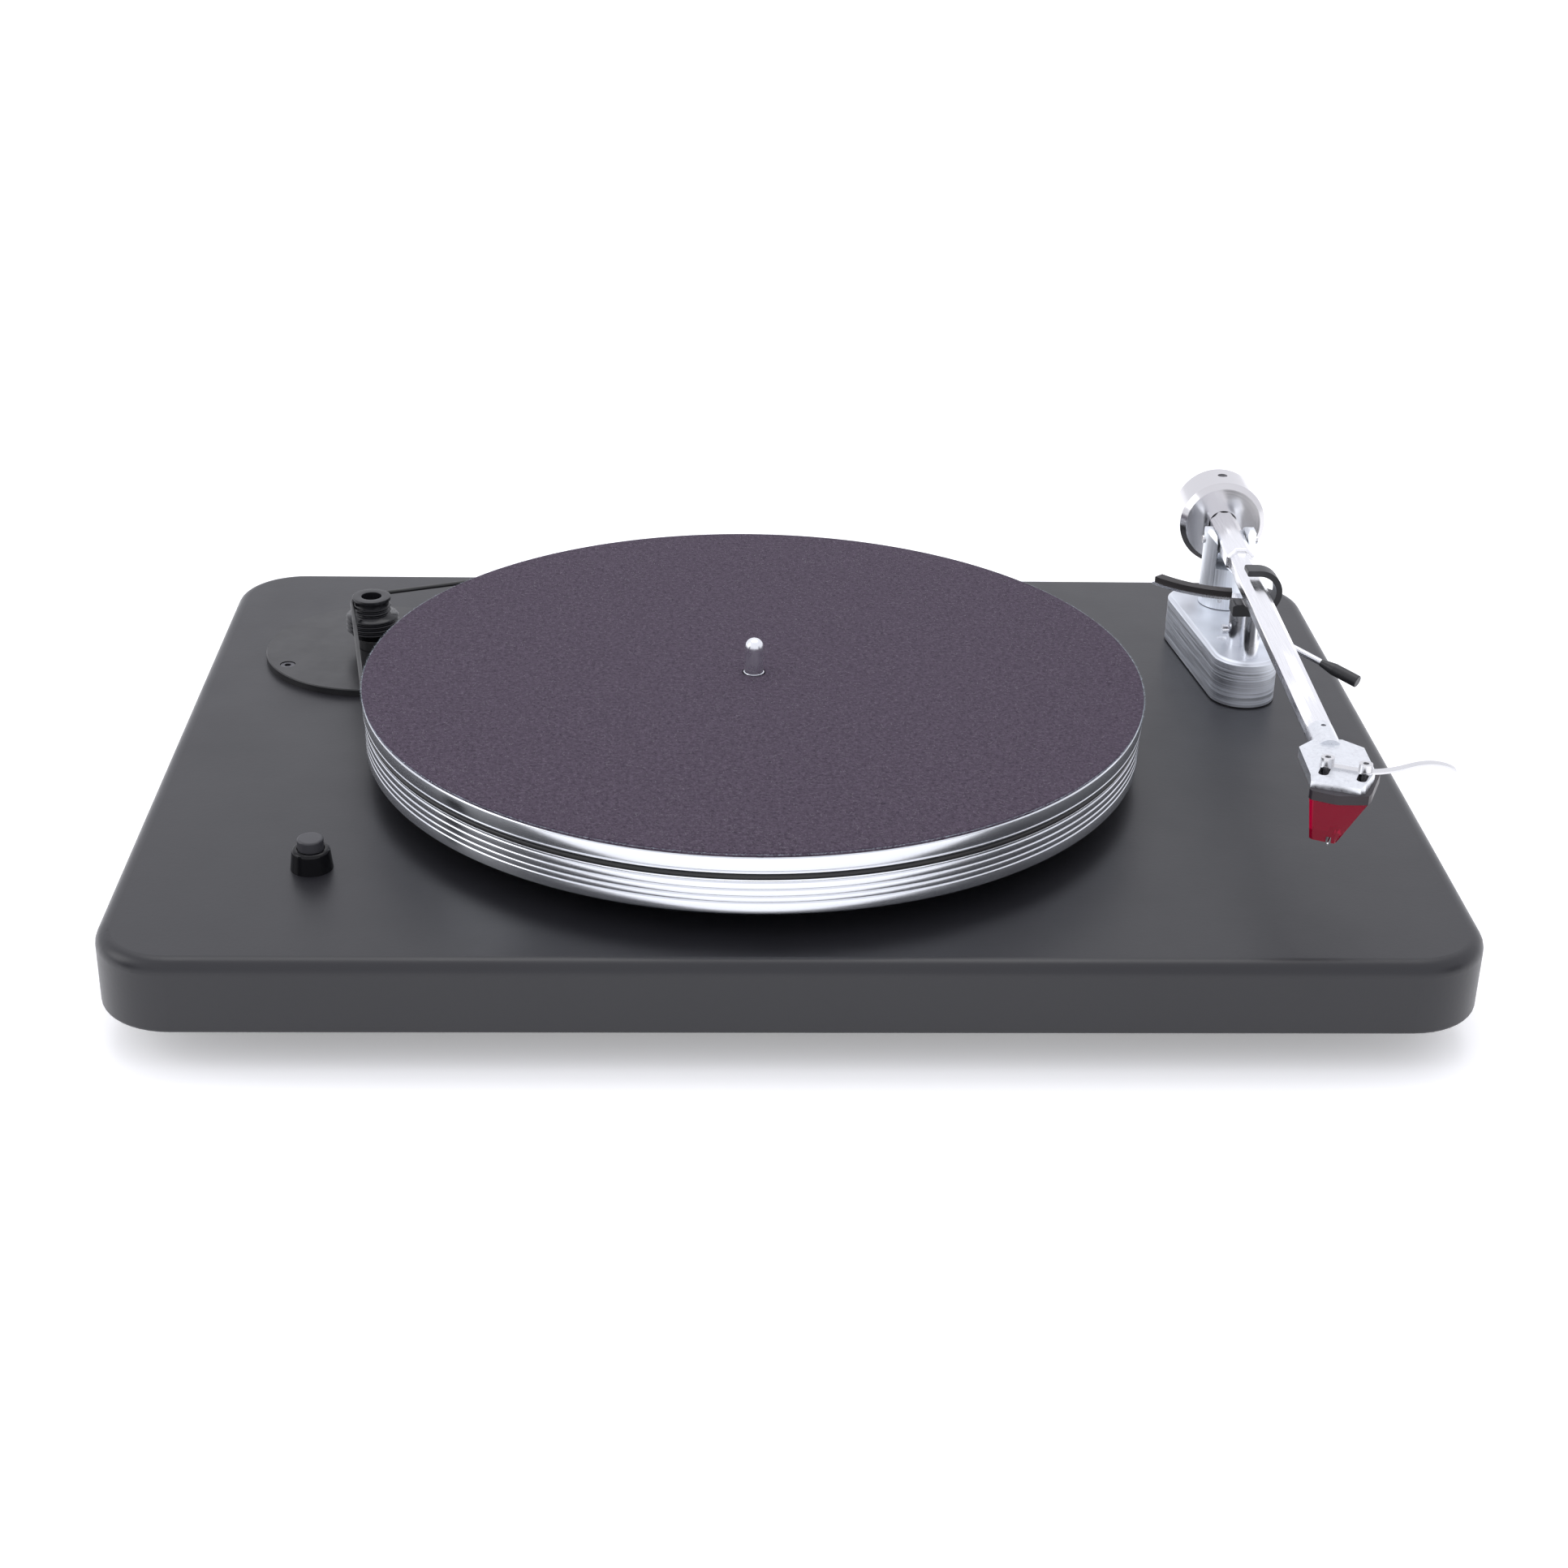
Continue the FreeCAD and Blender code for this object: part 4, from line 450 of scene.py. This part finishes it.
platter_low, platter_high = (np.array(corner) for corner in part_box("platter"))
belt_low, belt_high = (np.array(corner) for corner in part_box("drive_belt"))
spin_centre = (platter_low + platter_high) / 2
spin_axis = np.array([spin_centre[0], spin_centre[1], 0.0])
rim = (platter_high[0] - platter_low[0]) / 2
belt_z = (belt_low[2] + belt_high[2]) / 2
top, low = platter_high[2], platter_low[2]
groove_top, groove_low = belt_z + GROOVE_HALF, belt_z - GROOVE_HALF
lip = rim - LIP_STEP
corners = [(BORE_R, low + BORE_FROM), (BORE_R, top), (rim - TOP_BEVEL, top), (rim, top - TOP_BEVEL)]
corners += nick(rim, groove_top + UPPER_LINE, UPPER_HALF, UPPER_DEPTH)
corners += [(rim - MOUTH_LEAN, groove_top + MOUTH_RISE), (rim - GROOVE_MOUTH, groove_top),
            (rim - GROOVE_DEPTH, groove_top), (rim - GROOVE_DEPTH, groove_low), (lip, groove_low)]
for depth_below in LOWER_LINES:
    corners += nick(lip, groove_low - depth_below, LOWER_HALF, LOWER_HALF)
corners += [(lip, low + LOW_BEVEL), (lip - LOW_BEVEL, low), (HUB_R, low), (HUB_R, low + WELL_STEP),
            (WELL_R, low + WELL_STEP), (WELL_R, low + WELL_DEPTH), (BORE_R, low + WELL_DEPTH)]
rim_profile = rounded(corners, RIM_EASE, steps=3)
platter_metal = turned_metal("platter_aluminium", (0.74, 0.76, 0.80), 0.20, tuple(spin_axis))
dress(turned("turned_platter", spin_axis, rim_profile, "platter_group", segments=360), platter_metal,
      "platter_aluminium", "platter")
print("platter rim radius, mm:", round(rim / MM, 2))

# %% [markdown]
# ## The felt mat
# Felt is pressed wool: no weave, only short fibres lying every way, a soft rounded edge and a faint
# haze of loose fibres along it. The disc is a flat turned grid with eased edges. Two crossed sets of
# stretched noise stand for the fibres and a coarser one for clumps, in the colour and in the bump,
# and a little sheen gives the pale bloom that cloth shows at a low angle. Along the rim that bloom is
# also painted: the loose fibres there are coloured pale blue-grey, which is painted sheen.

# %% Felt
felt = Finish("mat_felt", (0.07, 0.055, 0.074), 0.95, Sheen_Weight=0.05, Sheen_Roughness=0.5,
              Specular_IOR_Level=0.15)
felt.shader.inputs["Sheen Tint"].default_value = (0.80, 0.80, 0.95, 1.0)
fibre = felt.noise(felt.mapped(scale=(1, 3.5, 1), rotation=(0, 0, 0.7)), 1400.0, 3.0, 0.65)
cross_fibre = felt.noise(felt.mapped(scale=(3.5, 1, 1), rotation=(0, 0, 0.3)), 1300.0, 3.0, 0.65)
both = felt.node("ShaderNodeMath", {0: fibre, 1: cross_fibre}, operation="ADD").outputs[0]
clumps = felt.noise(felt.place, 650.0, 4.0, 0.7)
speckle = felt.node("ShaderNodeMath", {0: both, 1: clumps}, operation="ADD").outputs[0]
felt.drive("Base Color", felt.tint(felt.between(speckle, 0.0, 1.0, 1.15, 1.85),
                                   ((0.020, 0.013, 0.023), (0.108, 0.084, 0.116)), (0.05, 0.95)))
felt.bump(both, 0.00012, 0.8)
felt.bump(clumps, 0.00025, 0.7)
felt.bump(felt.noise(felt.place, 120.0, 3.0, 0.5), 0.0002, 0.3)

mat_low, mat_high = (np.array(corner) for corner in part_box("platter_mat"))
mat_r = (mat_high[0] - mat_low[0]) / 2
MAT_HOLE, MAT_STEPS = 4.4 * MM, 7
HOLE_EASE, RIM_TOP_EASE, RIM_LOW_EASE = 0.5 * MM, 0.7 * MM, 0.3 * MM
FLAT_FROM, FLAT_TO, FLAT_RINGS = MAT_HOLE + 1.0 * MM, mat_r - 1.2 * MM, 40
mat_corners = [(MAT_HOLE, mat_low[2]), (MAT_HOLE, mat_high[2]), (mat_r, mat_high[2]), (mat_r, mat_low[2]),
               (MAT_HOLE, mat_low[2])]
mat_profile = rounded(mat_corners, [0, HOLE_EASE, RIM_TOP_EASE, RIM_LOW_EASE, 0], MAT_STEPS)
radii = np.linspace(FLAT_FROM, FLAT_TO, FLAT_RINGS)
flat_top = np.stack([radii, np.full_like(radii, mat_high[2])], 1)
first_bend_ends = 1 + MAT_STEPS
mat_profile = np.vstack([mat_profile[:first_bend_ends], flat_top, mat_profile[first_bend_ends:]])
dress(turned("felt_mat", spin_axis, mat_profile, "platter_group", segments=360), felt, "mat_felt",
      "platter_mat")
print("mat radius, mm:", round(mat_r / MM, 2))

# %% [markdown]
# Loose fibres are thin bent slivers. Each is a strip of two quads, placed by one array of random
# numbers with a fixed seed, so the picture is the same on every run.

# %% Loose fibres


def fibres(name, count, ring_low, ring_high, height, length, width, body, seed):
    """Slivers lying on a ring: the centre of each is at (r cos a, r sin a, height). Its two ends lie
    along a random heading, a little up or down, and its middle bows to one side."""
    lift = 0.00012  # how far the fibres' middles are spread in height, in metres
    rng = np.random.default_rng(seed)
    angle = rng.uniform(0, 2 * np.pi, count)
    r = np.sqrt(rng.uniform(ring_low ** 2, ring_high ** 2, count))
    heading = rng.uniform(0, 2 * np.pi, count)
    half = length * rng.uniform(0.4, 1.0, count) / 2
    centre = np.stack([spin_axis[0] + r * np.cos(angle), spin_axis[1] + r * np.sin(angle),
                       height + rng.uniform(0, lift, count)], 1)
    along = np.stack([np.cos(heading), np.sin(heading), rng.uniform(-0.25, 0.35, count)], 1)
    across = np.stack([-np.sin(heading), np.cos(heading), np.zeros(count)], 1) * width / 2
    bend = np.stack([-np.sin(heading), np.cos(heading), rng.uniform(-0.2, 0.8, count)], 1)
    bend = bend * (half * rng.uniform(-0.35, 0.35, count))[:, None]
    t = np.array([-1.0, 0.0, 1.0])
    spine = centre[:, None] + along[:, None] * (t[None, :, None] * half[:, None, None])
    spine = spine + bend[:, None] * (1 - t[None, :, None] ** 2)
    points = np.stack([spine - across[:, None], spine + across[:, None]], 2)
    base = (np.arange(count) * 6)[:, None]
    faces = np.concatenate([base + np.array([0, 1, 3, 2]), base + np.array([2, 3, 5, 4])]).tolist()
    mesh = mesh_from(name, points.reshape(-1, 3).tolist(), faces)
    mesh.update()
    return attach(show(name, mesh), body)


def fibre_finish(name, colour, scale, darkest, palest):
    """A matt finish for fibres, whose colour wanders between two shades."""
    made = Finish(name, colour, 0.9, Sheen_Weight=0.4)
    made.drive("Base Color", made.tint(made.noise(made.place, scale), (darkest, palest)))
    return made


FIBRE_WIDTH, TOP_FIBRE, EDGE_FIBRE = 0.06 * MM, 1.8 * MM, 1.5 * MM
EDGE_IN, EDGE_OUT, EDGE_DROP, HOLE_CLEAR = 0.5 * MM, 0.3 * MM, 0.45 * MM, 6 * MM
top_finish = fibre_finish("felt_fibres", (0.17, 0.155, 0.185), 3000.0, (0.06, 0.05, 0.065),
                          (0.26, 0.24, 0.28))
# The rim's fibres are coloured pale blue-grey, far paler than the felt: painted sheen, the bloom of light
# along the mat's edge.
edge_fibres_painted_sheen = fibre_finish("felt_edge_fibres_painted_sheen", (0.30, 0.34, 0.40), 900.0, (0.10, 0.12, 0.15),
                           (0.45, 0.52, 0.60))
top_fibres = fibres("felt_fibres_top", 16000, HOLE_CLEAR, mat_r - EDGE_IN, mat_high[2], TOP_FIBRE,
                    FIBRE_WIDTH, "platter_group", 3)
dress(top_fibres, top_finish, "mat_felt")
edge_fibres = fibres("felt_fibres_edge", 9000, mat_r - EDGE_IN, mat_r + EDGE_OUT, mat_high[2] - EDGE_DROP,
                     EDGE_FIBRE, FIBRE_WIDTH, "platter_group", 4)
dress(edge_fibres, edge_fibres_painted_sheen, "mat_felt")

# %% [markdown]
# ## The belt and the motor pulley
# The belt is round rubber. Its path is two arcs and the two straight runs that touch both, so it is a
# circle carried along a closed curve. It sits in the platter's groove and in the pulley's.

# %% Belt


def tube_along(name, path, radius, body, closed=True, sides=16):
    """A round tube: at each path point the circle lies square to the path, spanned by side = up x
    ahead and lift = ahead x side."""
    ahead = np.roll(path, -1, 0) - np.roll(path, 1, 0)
    if not closed:
        ahead[0], ahead[-1] = path[1] - path[0], path[-1] - path[-2]
    ahead /= np.linalg.norm(ahead, axis=1)[:, None]
    side = np.cross(np.array([0.0, 0.0, 1.0]), ahead)
    side /= np.linalg.norm(side, axis=1)[:, None]
    lift = np.cross(ahead, side)
    angle = np.linspace(0, 2 * np.pi, sides, endpoint=False)
    ring = side[:, None] * np.cos(angle)[None, :, None] + lift[:, None] * np.sin(angle)[None, :, None]
    points = path[:, None] + radius * ring
    return grid_object(name, points, body, close_u=closed, close_v=True, caps=(not closed, not closed))


pulley_low, pulley_high = (np.array(corner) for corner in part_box("motor_pulley"))
pulley_axis = np.array([*(pulley_low + pulley_high)[:2] / 2, 0.0])
belt_r = (belt_high[2] - belt_low[2]) / 2
big = belt_high[0] - spin_axis[0] - belt_r
small = pulley_axis[0] - belt_low[0] - belt_r
span = pulley_axis[:2] - spin_axis[:2]
toward = math.atan2(span[1], span[0])
spread = math.acos((big - small) / np.linalg.norm(span))


def arc(centre, radius, start, end, steps):
    """Points on a circle from start to end, in radians, at the belt's height."""
    a = np.linspace(start, end, steps)
    x, y = centre[0] + radius * np.cos(a), centre[1] + radius * np.sin(a)
    return np.stack([x, y, np.full(steps, belt_z)], 1)


round_platter = arc(spin_axis, big, toward + spread, toward - spread + 2 * np.pi, 360)
round_pulley = arc(pulley_axis, small, toward - spread, toward + spread, 40)
belt = tube_along("rubber_belt", np.vstack([round_platter, round_pulley]), belt_r, "deck")
dress(belt, belt_rubber, "belt_rubber", "drive_belt")

# %% [markdown]
# Under the power button sits a coil spring: a round wire on a helix. With t from 0 to 1 and n turns
# the point is (r cos 2 pi n t, r sin 2 pi n t, rise t). The button presses it down to about half its
# height.

# %% Button spring
spring_low, spring_high = (np.array(corner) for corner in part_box("switch_spring"))
WIRE_R, TURNS, COIL_POINTS = 0.36 * MM, 3.0, 120
t = np.linspace(0, 1, COIL_POINTS)
spring_centre = (spring_low + spring_high) / 2
coil_r = (spring_high[0] - spring_low[0]) / 2 - WIRE_R
rise = spring_high[2] - spring_low[2] - 2 * WIRE_R
coil = np.stack([spring_centre[0] + coil_r * np.cos(2 * np.pi * TURNS * t),
                 spring_centre[1] + coil_r * np.sin(2 * np.pi * TURNS * t),
                 spring_low[2] + WIRE_R + rise * t], 1)
spring = tube_along("coil_spring", coil, WIRE_R, "deck", closed=False, sides=10)
dress(spring, nickel, "nickel", "switch_spring")
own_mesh(spring)

# %% [markdown]
# The pulley is black and ribbed: a flange, the belt's groove and two round ribs on the small
# diameter, then three wider ribs on the large one. n ribs follow r - d + d cos(2 pi n t), which is
# already smooth, so only the flanges need eased corners.

# %% Pulley
STEPS_PER_RIB = 16


def ribs(radius, high, low, count, depth):
    """A run of round ribs between two heights: r = radius - depth + depth cos(2 pi n t), t from 0 to 1."""
    t = np.linspace(0, 1, count * STEPS_PER_RIB + 1)
    return np.stack([radius - depth + depth * np.cos(2 * np.pi * count * t), high + (low - high) * t], 1)


p_low, p_top = pulley_low[2], pulley_high[2]
r_low, r_top = (pulley_high[0] - pulley_low[0]) / 2, 7.8 * MM
STEP_RISE, CAP_DEPTH, CAP_EASE = 9.1 * MM, 7 * MM, 0.25 * MM
CAP_HOLE, CAP_BORE, SHAFT_BORE = 0.3 * MM, 4.1 * MM, 2.02 * MM
GROOVE_IN, GROOVE_WIDE, GROOVE_NARROW = 0.8 * MM, 1.2 * MM, 1.0 * MM
SMALL_RIBS, SMALL_RIB, LARGE_RIBS, LARGE_RIB = 2, 0.45 * MM, 3, 0.5 * MM
LAND, STEP_UP, STEP_DOWN, STEP_IN = 0.05 * MM, 0.3 * MM, 0.5 * MM, 0.4 * MM
FOOT_RISE, FOOT_SHOULDER, FOOT_IN, FOOT_R = 3.2 * MM, 2.6 * MM, 1.0 * MM, 8.2 * MM
step = p_low + STEP_RISE
top_part = rounded([(CAP_HOLE, p_top - CAP_DEPTH), (CAP_BORE, p_top - CAP_DEPTH), (CAP_BORE, p_top),
                    (r_top, p_top), (r_top, belt_z + GROOVE_WIDE),
                    (r_top - GROOVE_IN, belt_z + GROOVE_NARROW),
                    (r_top - GROOVE_IN, belt_z - GROOVE_NARROW),
                    (r_top, belt_z - GROOVE_WIDE)], CAP_EASE, 5)
small_ribs = ribs(r_top, belt_z - GROOVE_WIDE - LAND, step + STEP_UP, SMALL_RIBS, SMALL_RIB)
large_ribs = ribs(r_low, step - STEP_DOWN, p_low + FOOT_RISE, LARGE_RIBS, LARGE_RIB)
pulley_foot = [(r_low - FOOT_IN, p_low + FOOT_SHOULDER), (FOOT_R, p_low), (SHAFT_BORE, p_low)]
pulley_profile = np.vstack([top_part, small_ribs, [(r_low - STEP_IN, step)], large_ribs, pulley_foot])
pulley_finish = moulded("pulley_black", (0.010, 0.010, 0.012), 0.20, 900.0, 0.000002, 0.35)
pulley = turned("turned_pulley", pulley_axis, pulley_profile[::-1], "pulley_group", segments=128)
dress(pulley, pulley_finish, "pulley_black", "motor_pulley")
print("pulley radii, mm:", round(r_low / MM, 2), round(r_top / MM, 2))

# %% [markdown]
# ## The arm
# The sleeve and the tube are bars with eight flats and softly eased corners, which is why each shows
# clean bands of light and dark along its length. The cross-section is a polygon, r = a / cos(angle from
# the middle of the flat), held under the corner radius. The tube swells a little away from the sleeve.
# Both lie on the arm's own axis, which passes through the tilt joint in the direction the weight slides.

# %% Arm bars
joints = {joint["name"]: joint for joint in frame["joints"]}
arm_axis = Vector(joints["weight_slide"]["axis"]).normalized()
pivot = np.array(joints["arm_tilt"]["pos_m"], float)
along_arm = np.array(arm_axis)
FLATS, STEPS_PER_FLAT, FLAT_AT = 8, 18, 0.945


def flats(name, sections, body):
    """An eight-sided bar from (distance from the pivot, corner radius) pairs: r = FLAT_AT R / cos(b),
    with b from -22.5 to 22.5 degrees over each flat, and never more than R."""
    _, side, other = frame_of(along_arm)
    angle = np.linspace(0, 2 * np.pi, FLATS * STEPS_PER_FLAT, endpoint=False)
    half_flat = np.pi / FLATS
    b = (angle + half_flat) % (2 * half_flat) - half_flat
    shape = np.minimum(FLAT_AT / np.cos(b), 1.0)
    ring = (side[None] * np.cos(angle)[:, None] + other[None] * np.sin(angle)[:, None]) * shape[:, None]
    sections = np.asarray(sections, float)
    points = pivot + sections[:, None, 0:1] * along_arm + sections[:, None, 1:2] * ring[None]
    return grid_object(name, points[::-1], body, close_v=True, caps=(True, True))


SLEEVE_REAR, SLEEVE_FRONT, SLEEVE_R = -47.0 * MM, 27.3 * MM, 6.05 * MM
SLEEVE_BEVEL, SLEEVE_EASE, END_HOLE = 0.9 * MM, 0.2 * MM, 2 * MM
TUBE_START, SWELL_LENGTH, TUBE_MIDDLE, TUBE_END = 8.0 * MM, 22 * MM, 110 * MM, 195.3 * MM
TUBE_R, SWELL, TUBE_END_R = 4.55 * MM, 0.5 * MM, 4.85 * MM
PLUG_LENGTH, PLUG_R, PLUG_HOLE = 10 * MM, 3.85 * MM, 1 * MM

ends = rounded([(SLEEVE_REAR, END_HOLE), (SLEEVE_REAR, SLEEVE_R - SLEEVE_BEVEL),
                (SLEEVE_REAR + SLEEVE_BEVEL, SLEEVE_R), (SLEEVE_FRONT - SLEEVE_BEVEL, SLEEVE_R),
                (SLEEVE_FRONT, SLEEVE_R - SLEEVE_BEVEL), (SLEEVE_FRONT, END_HOLE)], SLEEVE_EASE, 4)
dress(flats("arm_sleeve_bar", ends, "arm_group"), arm_silver, "arm_aluminium", "arm_sleeve")

tube = [(TUBE_START, END_HOLE), (TUBE_START, TUBE_R)]
tube += [(SLEEVE_FRONT + SWELL_LENGTH * t, TUBE_R + SWELL * (3 * t ** 2 - 2 * t ** 3))
         for t in np.linspace(0, 1, 9)]
tube += [(TUBE_MIDDLE, TUBE_R + SWELL), (TUBE_END, TUBE_END_R), (TUBE_END, PLUG_R),
         (TUBE_END + PLUG_LENGTH, PLUG_R), (TUBE_END + PLUG_LENGTH, PLUG_HOLE)]
dress(flats("arm_tube_bar", tube, "arm_group"), arm_silver, "arm_aluminium", "arm_tube")
print("arm axis", [round(v, 4) for v in along_arm], "pivot, mm:", np.round(pivot / MM, 2).tolist())

# %% [markdown]
# ## The counterweight
# A turned steel weight. Its lines run round the sleeve's axis, which leans a little, so the pattern is
# turned to match. The weight keeps its CAD mesh, whose bevels and bore are exact.

# %% Counterweight finish
weight_low, weight_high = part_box("counterweight")
weight_centre = (weight_low + weight_high) / 2
to_z = arm_axis.rotation_difference(Vector((0, 0, 1))).to_euler("XYZ")
weight_metal = turned_metal("weight_steel", (0.66, 0.65, 0.66), 0.16, tuple(weight_centre), tuple(to_z),
                            depth=0.0000012)
wear(weight_metal, "counterweight")
print("arm axis turned by", [round(a, 3) for a in to_z])

# %% [markdown]
# ## Floor and light
# A wide pale floor, a bright even sky, and two soft lamps. The floor gives off a little light of its
# own, which keeps it pale and its shadows thin. Metal only shows its shape when there is something dark
# for it to reflect, so two black cards stand to the sides. They show only in reflections, and the
# Standard view transform keeps the pale ground white.

# %% Stage
world = bpy.data.worlds.new("studio")
bpy.context.scene.world = world
world.use_nodes = True
sky = world.node_tree.nodes["Background"]
sky.inputs["Color"].default_value = (1.0, 1.005, 1.07, 1.0)
sky.inputs["Strength"].default_value = 1.0

FAR = 9  # half the floor's width, in metres
floor = show("floor", mesh_from("floor", [(-FAR, -FAR, 0), (FAR, -FAR, 0), (FAR, FAR, 0), (-FAR, FAR, 0)],
                                [(0, 1, 2, 3)]))
paper = Finish("paper_floor", (0.93, 0.93, 0.935), 0.9, Emission_Strength=0.28)
paper.shader.inputs["Emission Color"].default_value = (1.0, 1.0, 1.0, 1.0)
paper.bump(paper.noise(paper.place, 60.0), 0.0001, 0.1)
floor.data.materials.append(paper.mat)


AIM = Vector((0, 0, 0.05))


def lamp(name, place, width, height, power):
    """A rectangular soft light at place, facing AIM, the middle of the object."""
    data = bpy.data.lights.new(name, "AREA")
    data.shape = "RECTANGLE"
    data.size, data.size_y = width, height
    data.energy = power
    made = show(name, data)
    made.location = place
    made.rotation_mode = "QUATERNION"
    made.rotation_quaternion = (AIM - Vector(place)).to_track_quat("-Z", "Y")


lamp("overhead", place=(0.0, 0.5, 1.8), width=1.6, height=1.0, power=9.0)
lamp("left", place=(-1.6, -0.2, 0.9), width=0.8, height=1.0, power=4.0)

CARD_OUT, CARD_FRONT, CARD_BACK, CARD_TOP = 0.85, -0.7, -0.35, 0.35
black_card = Finish("black_card", (0.02, 0.02, 0.02), 0.9)
for label, side in (("card_left", -1), ("card_right", 1)):
    x = side * CARD_OUT
    card = show(label, mesh_from(label, [(x, CARD_FRONT, 0.0), (x, CARD_BACK, 0.0),
                                         (x, CARD_BACK, CARD_TOP), (x, CARD_FRONT, CARD_TOP)],
                                 [(0, 1, 2, 3)]))
    card.data.materials.append(black_card.mat)
    card.visible_camera = card.visible_diffuse = card.visible_shadow = False
bpy.context.scene.view_settings.view_transform = "Standard"
print("stage ready")
